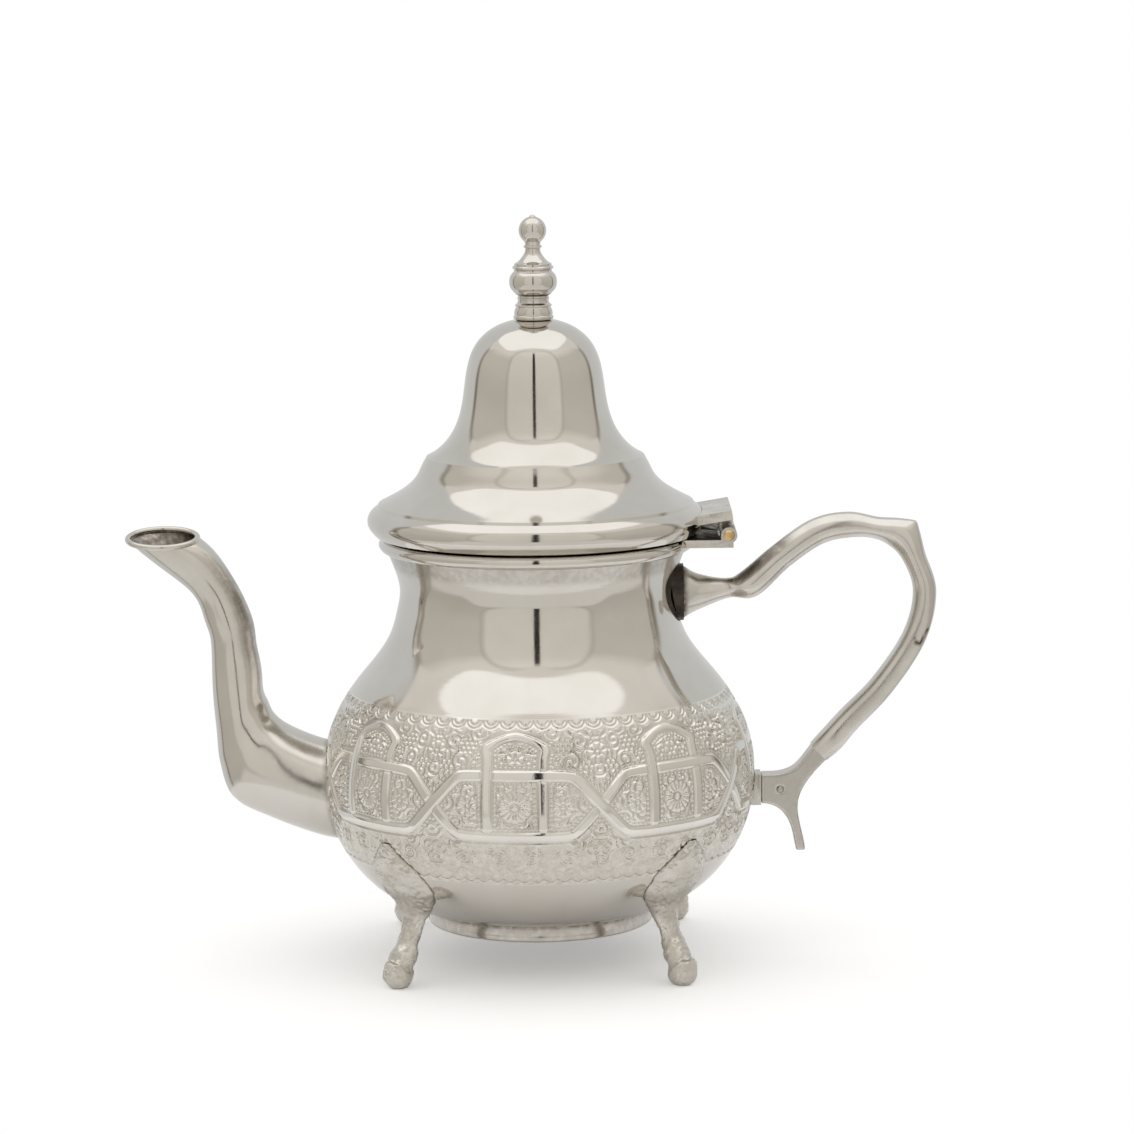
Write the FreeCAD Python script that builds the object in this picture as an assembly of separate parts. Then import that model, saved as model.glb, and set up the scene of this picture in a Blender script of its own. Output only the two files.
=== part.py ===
import FreeCAD, Part
import math
import os

# Footed teapot of plated brass: spun body and lid, soldered spout, cast handle and feet.
# Millimetres, +Z up, the table at z = 0, the body's axis on Z, spout to -X, handle to +X.

os.makedirs("parts", exist_ok=True)
V = FreeCAD.Vector
UP = V(0, 0, 1)
ACROSS = V(0, 1, 0)
OUTWARD = V(1, 0, 0)
sweep_steps = 3
profile_steps = 16

# Body: outside radii of the spun sheet and their heights above the table
# A share is the part of the way up from the belly's widest place to the edge of the flare.
body_wall = 1.2
base_seat_radius = 30.2
base_seat_height = 13.8
lower_belly_radius = 45.6
lower_belly_height = 22.2
belly_radius = 56.4
belly_height = 47.5
upper_belly_radius = 53.2
upper_belly_share = 0.2712
shoulder_radius = 45.4
shoulder_share = 0.4709
neck_base_radius = 37.5
neck_base_share = 0.6656
neck_radius = 35.7
neck_share = 0.8319
flare_radius = 38.8
flare_height = 107.6
base_slope = 0.22
flare_slope = 0.45

# Base ring under the belly
base_ring_inset = 0.7
base_ring_wall = 1.6
base_ring_depth = 4.2

# Rolled rim that sits on the edge of the body
rim_overhang = 2.1
rim_inset = 1.4
rim_depth = 3.4
rim_roll = 1.1

# Lid: outside radii of the spun bell and their heights above the lid's lower edge
lid_wall = 1.0
lid_gap = 0.7
lid_overlap = 0.7
lid_band_swell = 2.1
lid_band_height = 3.2
lid_lip_radius = 41.2
lid_lip_height = 7.7
lid_flare_radius = 34.0
lid_flare_height = 12.6
lid_step_radius = 30.4
lid_step_height = 16.6
lid_shoulder_radius = 28.2
lid_shoulder_height = 20.2
lid_waist_radius = 21.4
lid_waist_share = 0.48
bell_radius = 18.6
bell_share = 0.634
crown_radius = 15.0
crown_drop = 6.0
crown_top_radius = 11.1
crown_top_drop = 2.2
knob_seat_radius = 5.8
lid_height = 55.2
crown_slope = 0.25
shoulder_slope = 0.45

# Collar under the lid, which drops into the mouth
collar_clearance = 1.2
collar_wall = 1.0
collar_depth = 6.0
collar_flange = 1.0

# Knob: pedestal, turned knob, stud, washer and nut
pedestal_radius = 5.5
pedestal_foot_radius = 5.3
pedestal_foot_height = 2.3
pedestal_waist_radius = 4.2
pedestal_waist_height = 5.0
pedestal_top_radius = 4.5
pedestal_height = 6.6
bulb_radius = 6.2
bulb_height = 3.6
cone_radius = 4.4
cone_height = 8.4
cone_sag = 0.4
knob_neck_radius = 2.35
knob_neck_height = 11.6
ball_radius = 3.75
ball_height = 16.8
stud_radius = 1.5
stud_grip = 6.0
stud_clearance = 0.15
stud_tail = 0.8
washer_radius = 4.4
washer_thickness = 0.8
nut_flats = 5.5
nut_sides = 6
nut_thickness = 2.4

# Hinge at the handle side of the mouth
hinge_offset = 8.7
hinge_rise = 1.2
hinge_width = 27.0
hinge_pin_radius = 1.4
hinge_pin_proud = 0.3
knuckle_radius = 2.1
knuckle_centre_width = 9.0
knuckle_clearance = 0.3
pin_running_clearance = 0.06
body_leaf_thickness = 2.0
leaf_overhang = 1.1
lid_leaf_thickness = 2.4
lid_leaf_lift = 1.8
lid_leaf_slope = 9.0
lid_leaf_bite = 4.0

# Spout: distance from the axis, height, slant in degrees and half sizes at each station
# A share is the part of the way up from the root's middle to the mouth.
spout_wall = 1.1
root_stretch = 10.5
root_drop = 1.6
root_height = 45.0
root_slant = 179.0
root_half_height = 12.7
root_half_depth = 12.4
heel_distance = 67.6
heel_share = 0.0665
heel_slant = 168.0
heel_half_height = 12.3
heel_half_depth = 11.8
elbow_distance = 74.5
elbow_share = 0.1314
elbow_slant = 153.0
elbow_half_height = 12.2
elbow_half_depth = 10.2
shin_distance = 77.0
shin_share = 0.2266
shin_slant = 141.0
shin_half_height = 10.2
shin_half_depth = 8.7
calf_distance = 78.1
calf_share = 0.3353
calf_slant = 127.0
calf_radius = 7.8
throat_distance = 79.0
throat_share = 0.5514
throat_slant = 92.0
throat_radius = 6.0
swan_distance = 80.4
swan_share = 0.6767
swan_slant = 101.5
bend_distance = 85.5
bend_share = 0.8384
bend_slant = 120.0
bend_radius = 5.7
spout_reach = 106.8
mouth_height = 111.2
mouth_length = 18.0
mouth_width = 15.6
mouth_tilt = 10.5
lip_radius = 0.75

# Strainer plate inside the belly, behind the spout
strainer_wall = 0.8
strainer_margin = 3.0
strainer_hole_radius = 1.3
strainer_pitch = 5.2
strainer_rings = 2

# Handle: upper boss and cast arm, by distances from the body's axis, heights and slants
# A share is the part of the way up from the lower bracket to the middle of the upper boss.
boss_radius = 7.4
boss_proud = 2.1
handle_drop = 11.9
trumpet_radius = 7.0
bell_mouth_reach = 4.2
bell_mouth_radius = 4.7
pinch_reach = 12.0
pinch_rise = 0.9
pinch_slant = 8.0
pinch_radius = 2.6
spur_reach = 17.4
spur_rise = 1.8
spur_slant = 36.0
spur_half_width = 3.8
arm_half_depth = 3.8
rise_distance = 63.5
rise_share = 1.1727
rise_slant = 45.0
rise_half_width = 3.55
crest_distance = 72.7
crest_share = 1.2937
crest_slant = 27.0
arch_distance = 81.0
arch_share = 1.3282
arch_half_width = 3.4
saddle_distance = 88.5
saddle_share = 1.3109
saddle_slant = -10.0
saddle_half_width = 2.9
thumb_distance = 95.4
thumb_share = 1.2841
thumb_slant = -47.0
thumb_half_width = 5.2
nape_distance = 98.3
nape_share = 1.1574
nape_slant = -72.0
grip_distance = 100.9
grip_share = 0.9866
grip_slant = -91.0
grip_half_width = 3.05
curl_distance = 98.2
curl_share = 0.7620
curl_slant = -107.0
limb_distance = 90.0
limb_share = 0.5202
limb_slant = -128.0
shank_distance = 79.4
shank_share = 0.3090
arm_end_setout = 7.7
arm_end_share = 0.1996
arm_end_half_width = 2.5
arm_end_slant = -136.0

# Lower bracket of the handle, its tail, and the lug soldered to the belly
bracket_height = 43.6
bracket_width = 7.6
bracket_depth = 6.0
bracket_length = 8.5
bracket_shoulder_rise = 1.6
bracket_waist_setout = 1.2
bracket_waist_drop = 3.1
bracket_crotch_setback = 2.7
bracket_crotch_drop = 2.5
tail_setout = 1.8
tail_height = 27.3
tail_width = 2.5
tail_splay = 0.15
lug_thickness = 1.6
lug_margin = 0.3
tongue_thickness = 2.6
tongue_length = 7.6
tongue_height = 5.0
tongue_clearance = 0.1
rivet_radius = 0.8
rivet_setback = 2.6

# Cast feet, four round the belly, each in its own radial plane
toe_distance = 51.2
toe_radius = 3.9
toe_height = 3.4
instep_slant = 118.0
instep_thickness = 5.4
instep_width = 6.2
ankle_distance = 46.9
ankle_height = 13.4
ankle_slant = 102.0
ankle_thickness = 4.0
ankle_width = 5.8
knee_distance = 44.9
knee_height = 19.4
knee_slant = 78.0
knee_thickness = 5.0
knee_width = 11.0
pad_thickness = 6.4
pad_proud = 2.2
pad_low_height = 25.0
pad_low_width = 19.4
pad_high_height = 31.5
pad_high_width = 16.6
pad_top_height = 38.2
pad_top_width = 5.0
pad_top_proud = 0.9


def export(name, shape):
    shape.exportStep("parts/" + name + ".step")
    print(name, "solids", len(shape.Solids), "volume", round(shape.Volume, 1), shape.isValid())


def point(radius, height):
    return V(radius, 0, height)


def curve(points, start=None, end=None):
    spline = Part.BSplineCurve()
    if start is None:
        spline.interpolate(points)
    else:
        spline.interpolate(Points=points, InitialTangent=start, FinalTangent=end)
    return spline


def first_point(spline):
    return spline.value(spline.FirstParameter)


def last_point(spline):
    return spline.value(spline.LastParameter)


def line(a, b):
    return Part.makeLine(a, b)


def arc(a, middle, b):
    return Part.Arc(a, middle, b).toShape()


def offset_points(spline, distance, count):
    """Points at a steady distance to the left of a curve."""
    first, last = spline.FirstParameter, spline.LastParameter
    points = []
    for i in range(count + 1):
        u = first + (last - first) * i / count
        tangent = spline.tangent(u)[0]
        points.append(spline.value(u) + V(-tangent.z, 0, tangent.x) * distance)
    return points


def profile_at(spline, height):
    """The spot on a climbing profile at a height, and the profile's slant there in degrees."""
    low, high = spline.FirstParameter, spline.LastParameter
    for _ in range(50):
        middle = (low + high) / 2
        if spline.value(middle).z < height:
            low = middle
        else:
            high = middle
    tangent = spline.tangent(low)[0]
    return spline.value(low), math.degrees(math.atan2(tangent.z, tangent.x))


def spin(edges):
    face = Part.Face(Part.Wire(Part.__sortEdges__(edges)))
    return face.revolve(V(0, 0, 0), UP, 360)


def filled(spline):
    """The solid inside a profile of revolution."""
    start = first_point(spline)
    end = last_point(spline)
    start_centre = point(0, start.z)
    end_centre = point(0, end.z)
    return spin([
        spline.toShape(),
        line(end, end_centre),
        line(end_centre, start_centre),
        line(start_centre, start),
    ])


def cylinder(radius, length, base, direction=UP):
    return Part.makeCylinder(radius, length, base, direction)


def tube(outer, inner, bottom, top):
    shell = cylinder(outer, top - bottom, point(0, bottom))
    return shell.cut(cylinder(inner, top - bottom, point(0, bottom)))


def block(low, high):
    size = high - low
    return Part.makeBox(size.x, size.y, size.z, low)


def side_of(slant):
    """The direction square to a slant, in the XZ plane."""
    turn = math.radians(slant)
    return V(-math.sin(turn), 0, math.cos(turn))


def oval(centre, side, depth, half_side, half_depth):
    a = side * half_side
    b = depth * half_depth
    n = side.cross(depth)
    place = FreeCAD.Matrix(
        a.x, b.x, n.x, centre.x,
        a.y, b.y, n.y, centre.y,
        a.z, b.z, n.z, centre.z,
        0, 0, 0, 1,
    )
    return Part.Wire(Part.makeCircle(1).transformGeometry(place).Edges)


def section(distance, height, slant, half_width, half_depth):
    """A closed oval square to a slanting path in the XZ plane."""
    return oval(point(distance, height), side_of(slant), ACROSS, half_width, half_depth)


def between(a, b, c, d, t):
    """A smooth value from b to c, with a before and d after them."""
    first = (c - a) / 2
    last = (d - b) / 2
    rise = c - b
    return b + t * (first + t * (3 * rise - 2 * first - last + t * (first + last - 2 * rise)))


def key_rows(keys):
    """Rows of numbers that pass smoothly through the given ones."""
    rows = []
    final = len(keys) - 1
    for i in range(final):
        near = [keys[max(i - 1, 0)], keys[i], keys[i + 1], keys[min(i + 2, final)]]
        for j in range(sweep_steps):
            rows.append([between(a, b, c, d, j / sweep_steps) for a, b, c, d in zip(*near)])
    return rows + [keys[final]]


def loft(wires):
    solid = Part.makeLoft(wires, True, True)
    if solid.Volume < 0:
        solid.reverse()
    return solid


def body_height(share):
    return belly_height + (flare_height - belly_height) * share


# Body profile, from the flat of the base up to the flare of the neck
body_outer = curve(
    [
        point(base_seat_radius, base_seat_height),
        point(lower_belly_radius, lower_belly_height),
        point(belly_radius, belly_height),
        point(upper_belly_radius, body_height(upper_belly_share)),
        point(shoulder_radius, body_height(shoulder_share)),
        point(neck_base_radius, body_height(neck_base_share)),
        point(neck_radius, body_height(neck_share)),
        point(flare_radius, flare_height),
    ],
    V(1, 0, base_slope),
    V(flare_slope, 0, 1),
)
body_solid = filled(body_outer)
body_hollow = filled(curve(offset_points(body_outer, body_wall, profile_steps)))

# Rim: flat on top and below, rolled outside
rim_top = flare_height + rim_depth
rim_radius = flare_radius + rim_overhang
mouth_radius = flare_radius - body_wall - rim_inset
rim_low = point(rim_radius - rim_roll, flare_height)
rim_high = point(rim_radius - rim_roll, rim_top)
mouth_low = point(mouth_radius, flare_height)
mouth_high = point(mouth_radius, rim_top)
mouth_rim = spin([
    line(mouth_low, rim_low),
    arc(rim_low, point(rim_radius, flare_height + rim_depth / 2), rim_high),
    line(rim_high, mouth_high),
    line(mouth_high, mouth_low),
])
rim_solid = mouth_rim.fuse(cylinder(mouth_radius, rim_depth, point(0, flare_height)))
export("mouth_rim", mouth_rim)


def spout_height(share):
    return root_height + (mouth_height - root_height) * share


# Spout: ovals from inside the belly, round the elbow and up to the oblique mouth
root_distance = profile_at(body_outer, root_height)[0].x
mouth_centre = point(-spout_reach + lip_radius + mouth_length / 2, mouth_height)
spout_keys = [
    (-root_distance + root_stretch, root_height - root_drop, root_slant, root_half_height, root_half_depth),
    (-root_distance, root_height, root_slant, root_half_height, root_half_depth),
    (-heel_distance, spout_height(heel_share), heel_slant, heel_half_height, heel_half_depth),
    (-elbow_distance, spout_height(elbow_share), elbow_slant, elbow_half_height, elbow_half_depth),
    (-shin_distance, spout_height(shin_share), shin_slant, shin_half_height, shin_half_depth),
    (-calf_distance, spout_height(calf_share), calf_slant, calf_radius, calf_radius),
    (-throat_distance, spout_height(throat_share), throat_slant, throat_radius, throat_radius),
    (-swan_distance, spout_height(swan_share), swan_slant, throat_radius, throat_radius),
    (-bend_distance, spout_height(bend_share), bend_slant, bend_radius, bend_radius),
    (mouth_centre.x, mouth_centre.z, 90, mouth_length / 2, mouth_width / 2),
]


def spout_form(inset):
    """The spout's outside for inset 0, or its bore for the wall's thickness."""
    rows = key_rows(spout_keys)
    ovals = [section(x, z, slant, a - inset, b - inset) for x, z, slant, a, b in rows[:-1]]
    tilt = math.radians(mouth_tilt)
    mouth_depth = V(0, math.cos(tilt), math.sin(tilt))
    ovals.append(oval(mouth_centre, -OUTWARD, mouth_depth, mouth_length / 2 - inset, mouth_width / 2 - inset))
    return loft(ovals)


def mouth_lip():
    """A bead of round section, drawn out along the mouth."""
    ring = Part.makeTorus(mouth_width / 2, lip_radius)
    stretch = FreeCAD.Matrix()
    stretch.scale(mouth_length / mouth_width, 1, 1)
    bead = ring.transformGeometry(stretch)
    bead.rotate(V(0, 0, 0), OUTWARD, mouth_tilt)
    bead.translate(mouth_centre)
    return bead


spout_bore = spout_form(spout_wall)
export("spout_tube", spout_form(0).cut(spout_bore).cut(body_solid).fuse(mouth_lip()))

# Body shell, open at the mouth and into the spout
export("body_shell", body_solid.cut(body_hollow).cut(spout_bore))

# Base ring under the flat of the belly
base_ring_radius = base_seat_radius - base_ring_inset
base_ring_bore = base_ring_radius - base_ring_wall
base_ring_bottom = base_seat_height - base_ring_depth
export("base_ring", tube(base_ring_radius, base_ring_bore, base_ring_bottom, base_seat_height))

# Strainer: a perforated patch on the inside of the wall, over the way into the spout
strainer_start = point(-belly_radius, root_height)
strainer_core = filled(curve(offset_points(body_outer, body_wall + strainer_wall, profile_steps)))
strainer_patch = cylinder(root_half_height + strainer_margin, belly_radius, strainer_start, OUTWARD)
strainer = body_hollow.cut(strainer_core).common(strainer_patch)
for ring in range(strainer_rings + 1):
    holes = max(6 * ring, 1)
    for i in range(holes):
        turn = 2 * math.pi * i / holes
        shift = V(0, math.cos(turn), math.sin(turn)) * (strainer_pitch * ring)
        strainer = strainer.cut(cylinder(strainer_hole_radius, belly_radius, strainer_start + shift, OUTWARD))
export("spout_strainer", strainer)

# Upper boss of the handle: a round pad fitted to the neck
handle_height = flare_height - handle_drop
boss_face = profile_at(body_outer, handle_height)[0].x + boss_proud
boss = cylinder(boss_radius, boss_face, point(0, handle_height), OUTWARD)
export("handle_upper_boss", boss.cut(body_solid))

# Lug soldered to the belly, with a tongue that the bracket slides over
lug_low = bracket_height - bracket_width / 2
lug_high = bracket_height + bracket_width / 2
half_bracket = bracket_depth / 2
lug_face = max(profile_at(body_outer, edge)[0].x for edge in (lug_low, lug_high)) + lug_thickness
lug_plate = block(
    V(0, -half_bracket - lug_margin, lug_low - lug_margin),
    V(lug_face, half_bracket + lug_margin, lug_high + lug_margin),
)


def tongue_block(clearance):
    """The tongue, or the slot round it."""
    half_thick = tongue_thickness / 2 + clearance
    half_tall = tongue_height / 2 + clearance
    return block(
        V(lug_face - lug_thickness / 2, -half_thick, bracket_height - half_tall),
        V(lug_face + tongue_length + clearance, half_thick, bracket_height + half_tall),
    )


rivet_spot = V(lug_face + tongue_length - rivet_setback, -half_bracket, bracket_height)
rivet = cylinder(rivet_radius, bracket_depth, rivet_spot, ACROSS)
export("handle_lower_lug", lug_plate.cut(body_solid).fuse(tongue_block(0)).removeSplitter().cut(rivet))
export("handle_rivet", rivet)


def arm_height(share):
    return bracket_height + (handle_height - bracket_height) * share


# Arm: ovals from the boss along the trumpet, the arch, the thumb rest and the straight limb
bracket_bend = lug_face + bracket_length
arm_end = point(bracket_bend + arm_end_setout, arm_height(arm_end_share))
arm_keys = [
    (boss_face, handle_height, 0, trumpet_radius, trumpet_radius),
    (boss_face + bell_mouth_reach, handle_height, 0, bell_mouth_radius, bell_mouth_radius),
    (boss_face + pinch_reach, handle_height + pinch_rise, pinch_slant, pinch_radius, pinch_radius),
    (boss_face + spur_reach, handle_height + spur_rise, spur_slant, spur_half_width, arm_half_depth),
    (rise_distance, arm_height(rise_share), rise_slant, rise_half_width, arm_half_depth),
    (crest_distance, arm_height(crest_share), crest_slant, rise_half_width, arm_half_depth),
    (arch_distance, arm_height(arch_share), 0, arch_half_width, arm_half_depth),
    (saddle_distance, arm_height(saddle_share), saddle_slant, saddle_half_width, arm_half_depth),
    (thumb_distance, arm_height(thumb_share), thumb_slant, thumb_half_width, arm_half_depth),
    (nape_distance, arm_height(nape_share), nape_slant, grip_half_width, arm_half_depth),
    (grip_distance, arm_height(grip_share), grip_slant, grip_half_width, arm_half_depth),
    (curl_distance, arm_height(curl_share), curl_slant, grip_half_width, arm_half_depth),
    (limb_distance, arm_height(limb_share), limb_slant, grip_half_width, arm_half_depth),
    (shank_distance, arm_height(shank_share), arm_end_slant, grip_half_width, arm_half_depth),
    (arm_end.x, arm_end.z, arm_end_slant, arm_end_half_width, half_bracket),
]
export("handle_arm", loft([section(*row) for row in key_rows(arm_keys)]))

# Lower bracket: a cast plate from the lug to the arm's end, with a tail that points down
joint_right = arm_end + side_of(arm_end_slant) * arm_end_half_width
joint_left = arm_end - side_of(arm_end_slant) * arm_end_half_width
if joint_left.x > joint_right.x:
    joint_left, joint_right = joint_right, joint_left
arm_turn = math.radians(arm_end_slant)
arm_down = V(math.cos(arm_turn), 0, math.sin(arm_turn))
lug_top = point(lug_face, lug_high)
lug_bottom = point(lug_face, lug_low)
tail_left = point(bracket_bend + tail_setout - tail_width / 2, tail_height)
tail_right = point(bracket_bend + tail_setout + tail_width / 2, tail_height)
shoulder_spot = point(bracket_bend, lug_high + bracket_shoulder_rise)
waist_spot = point(bracket_bend + bracket_waist_setout, bracket_height - bracket_waist_drop)
crotch_spot = point(bracket_bend - bracket_crotch_setback, lug_low - bracket_crotch_drop)
tail_down = V(tail_splay, 0, -1)
bracket_outline = Part.Wire([
    curve([lug_top, shoulder_spot, joint_left], OUTWARD, -arm_down).toShape(),
    line(joint_left, joint_right),
    curve([joint_right, waist_spot, tail_right], arm_down, tail_down).toShape(),
    line(tail_right, tail_left),
    curve([tail_left, crotch_spot, lug_bottom], -tail_down, -OUTWARD).toShape(),
    line(lug_bottom, lug_top),
])
bracket_face = Part.Face(bracket_outline)
bracket_face.translate(ACROSS * -half_bracket)
bracket = bracket_face.extrude(ACROSS * bracket_depth)
export("handle_lower_bracket", bracket.cut(tongue_block(tongue_clearance)).cut(rivet))


def pad_key(height, width, proud):
    """A foot oval that lies on the belly and stands out from it."""
    spot, slant = profile_at(body_outer, height)
    centre = spot - side_of(slant) * (proud - pad_thickness / 2)
    return centre.x, centre.z, slant, pad_thickness / 2, width / 2


# Feet: a round toe cut flat below, an ankle, a knee and a shield pad on the belly
foot_keys = [
    (toe_distance, toe_height, instep_slant, instep_thickness / 2, instep_width / 2),
    (ankle_distance, ankle_height, ankle_slant, ankle_thickness / 2, ankle_width / 2),
    (knee_distance, knee_height, knee_slant, knee_thickness / 2, knee_width / 2),
    pad_key(pad_low_height, pad_low_width, pad_proud),
    pad_key(pad_high_height, pad_high_width, pad_proud),
    pad_key(pad_top_height, pad_top_width, pad_top_proud),
]
leg = loft([section(*row) for row in key_rows(foot_keys)])
toe = Part.makeSphere(toe_radius, point(toe_distance, toe_height))
below_table = block(V(0, -belly_radius, -belly_radius), V(2 * belly_radius, belly_radius, 0))
foot = leg.fuse(toe).cut(below_table).cut(body_solid)
foot_names = ["foot_rear_right", "foot_rear_left", "foot_front_left", "foot_front_right"]
for i, name in enumerate(foot_names):
    placed = foot.copy()
    placed.rotate(V(0, 0, 0), UP, (i + 0.5) * 360 / len(foot_names))
    export(name, placed)

# Lid profile: three runs from the crown to the lower edge, with creases between them
lid_bottom = rim_top + lid_gap
lid_edge_radius = rim_radius + lid_overlap
lid_band_radius = lid_edge_radius + lid_band_swell


def lid_point(radius, height):
    return point(radius, lid_bottom + height)


crown = curve(
    [
        lid_point(knob_seat_radius, lid_height),
        lid_point(crown_top_radius, lid_height - crown_top_drop),
        lid_point(crown_radius, lid_height - crown_drop),
        lid_point(bell_radius, lid_height * bell_share),
        lid_point(lid_waist_radius, lid_height * lid_waist_share),
        lid_point(lid_shoulder_radius, lid_shoulder_height),
    ],
    V(1, 0, -crown_slope),
    V(1, 0, -shoulder_slope),
)
skirt = curve(
    [
        lid_point(lid_shoulder_radius, lid_shoulder_height),
        lid_point(lid_step_radius, lid_step_height),
        lid_point(lid_flare_radius, lid_flare_height),
        lid_point(lid_lip_radius, lid_lip_height),
        lid_point(lid_band_radius, lid_band_height),
    ],
    V(shoulder_slope, 0, -1),
    -UP,
)
band = curve([lid_point(lid_band_radius, lid_band_height), lid_point(lid_edge_radius, 0)], -UP, V(-1, 0, -1))
lid_outside = spin([
    line(lid_point(0, lid_height), first_point(crown)),
    crown.toShape(),
    skirt.toShape(),
    band.toShape(),
    line(last_point(band), lid_point(0, 0)),
    line(lid_point(0, 0), lid_point(0, lid_height)),
])

# The hollow follows the outside one wall further in, and rounds off the creases
hollow_points = [lid_point(knob_seat_radius, lid_height - lid_wall)]
for run, count in ((crown, profile_steps), (skirt, profile_steps // 2), (band, 2)):
    hollow_points += offset_points(run, -lid_wall, count)[1:-1]
hollow_points.append(lid_point(lid_edge_radius - lid_wall, 0))
lid_hollow = filled(curve(hollow_points))
stud_hole = cylinder(stud_radius + stud_clearance, lid_height, lid_point(0, lid_height / 2))
export("lid_shell", lid_outside.cut(lid_hollow).cut(stud_hole))

# Collar under the lid: a flange inside the band and a short sleeve that enters the mouth
collar_radius = mouth_radius - collar_clearance
collar_bore = collar_radius - collar_wall
flange = tube(lid_band_radius, collar_bore, lid_bottom, lid_bottom + collar_flange).common(lid_hollow)
sleeve = tube(collar_radius, collar_bore, lid_bottom - collar_depth, lid_bottom + collar_flange)
export("lid_collar", flange.fuse(sleeve).removeSplitter())

# Knob on the crown: pedestal, turned knob, stud, washer and nut
seat_height = lid_bottom + lid_height
pedestal_curve = curve([
    point(pedestal_radius, seat_height),
    point(pedestal_foot_radius, seat_height + pedestal_foot_height),
    point(pedestal_waist_radius, seat_height + pedestal_waist_height),
    point(pedestal_top_radius, seat_height + pedestal_height),
])
pedestal_bore = cylinder(stud_radius + stud_clearance, pedestal_height, point(0, seat_height))
export("knob_pedestal", filled(pedestal_curve).cut(pedestal_bore))
knob_seat = seat_height + pedestal_height


def knob_point(radius, height):
    return point(radius, knob_seat + height)


ball_foot = ball_height - math.sqrt(ball_radius ** 2 - knob_neck_radius ** 2)
knob_height = ball_height + ball_radius
cone_middle_radius = (cone_radius + knob_neck_radius) / 2
cone_middle_height = (cone_height + knob_neck_height) / 2 - cone_sag
bulb = curve([
    knob_point(pedestal_top_radius, 0),
    knob_point(bulb_radius, bulb_height),
    knob_point(cone_radius, cone_height),
])
neck = curve([
    knob_point(cone_radius, cone_height),
    knob_point(cone_middle_radius, cone_middle_height),
    knob_point(knob_neck_radius, knob_neck_height),
    knob_point(knob_neck_radius, ball_foot),
])
ball = arc(last_point(neck), knob_point(ball_radius, ball_height), knob_point(0, knob_height))
knob = spin([
    line(knob_point(0, 0), knob_point(pedestal_top_radius, 0)),
    bulb.toShape(),
    neck.toShape(),
    ball,
    line(knob_point(0, knob_height), knob_point(0, 0)),
])
export("knob", knob.cut(cylinder(stud_radius, stud_grip, knob_point(0, 0))))

washer_top = seat_height - lid_wall
nut_top = washer_top - washer_thickness
nut_bottom = nut_top - nut_thickness
stud_bottom = nut_bottom - stud_tail
export("knob_washer", tube(washer_radius, stud_radius + stud_clearance, nut_top, washer_top))
nut_turn = 360 / nut_sides
nut_corner = V(nut_flats / 2 / math.cos(math.radians(nut_turn / 2)), 0, nut_bottom)
nut_corners = [FreeCAD.Rotation(UP, nut_turn * i).multVec(nut_corner) for i in range(nut_sides + 1)]
nut = Part.Face(Part.makePolygon(nut_corners)).extrude(UP * nut_thickness)
export("knob_nut", nut.cut(cylinder(stud_radius, nut_thickness, point(0, nut_bottom))))
export("knob_stud", cylinder(stud_radius, knob_seat + stud_grip - stud_bottom, point(0, stud_bottom)))

# Hinge: body leaf with two knuckles, lid leaf with one between them, and the brass pin
hinge_x = rim_radius + hinge_offset
hinge_z = rim_top + hinge_rise
hinge_axis = point(hinge_x, hinge_z)
half_hinge = hinge_width / 2
half_centre = knuckle_centre_width / 2
half_gap = half_centre + knuckle_clearance
pin_reach = half_hinge + hinge_pin_proud
leaf_bottom = rim_top - body_leaf_thickness
leaf_edge = hinge_x + leaf_overhang


def along_pin(radius, start, end):
    return cylinder(radius, end - start, hinge_axis + ACROSS * start, ACROSS)


hinge_pin = along_pin(hinge_pin_radius, -pin_reach, pin_reach)
export("hinge_pin", hinge_pin)

body_leaf = block(V(0, -half_hinge, leaf_bottom), V(leaf_edge, half_hinge, rim_top))
body_leaf = body_leaf.cut(rim_solid).cut(body_solid)
for start, end in ((-half_hinge, -half_gap), (half_gap, half_hinge)):
    web = block(V(hinge_x - knuckle_radius, start, leaf_bottom), V(hinge_x, end, hinge_z))
    body_leaf = body_leaf.fuse(web).fuse(along_pin(knuckle_radius, start, end))
notch = block(
    V(hinge_x - knuckle_radius - knuckle_clearance, -half_gap, leaf_bottom),
    V(leaf_edge, half_gap, hinge_z),
)
body_leaf = body_leaf.removeSplitter().cut(notch).cut(hinge_pin)
export("hinge_leaf_body", body_leaf)

# The lid leaf's plate lies over the knuckles and climbs a little towards the pin
plate_low = knuckle_radius + lid_leaf_lift
plate = block(
    V(-hinge_offset - lid_leaf_bite, -half_hinge, plate_low),
    V(leaf_overhang, half_hinge, plate_low + lid_leaf_thickness),
)
plate.rotate(point(0, plate_low), ACROSS, -lid_leaf_slope)
plate.translate(hinge_axis)
lid_web = block(
    V(hinge_x - knuckle_radius, -half_centre, hinge_z),
    V(leaf_edge, half_centre, hinge_z + plate_low + lid_leaf_thickness / 2),
)
lid_leaf = plate.fuse(lid_web).fuse(along_pin(knuckle_radius, -half_centre, half_centre)).removeSplitter()
pin_room = along_pin(hinge_pin_radius + pin_running_clearance, -half_centre, half_centre)
export("hinge_leaf_lid", lid_leaf.cut(lid_outside).cut(pin_room))
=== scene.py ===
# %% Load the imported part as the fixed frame
import math
import bpy
import numpy as np
from mathutils import Matrix


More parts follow.
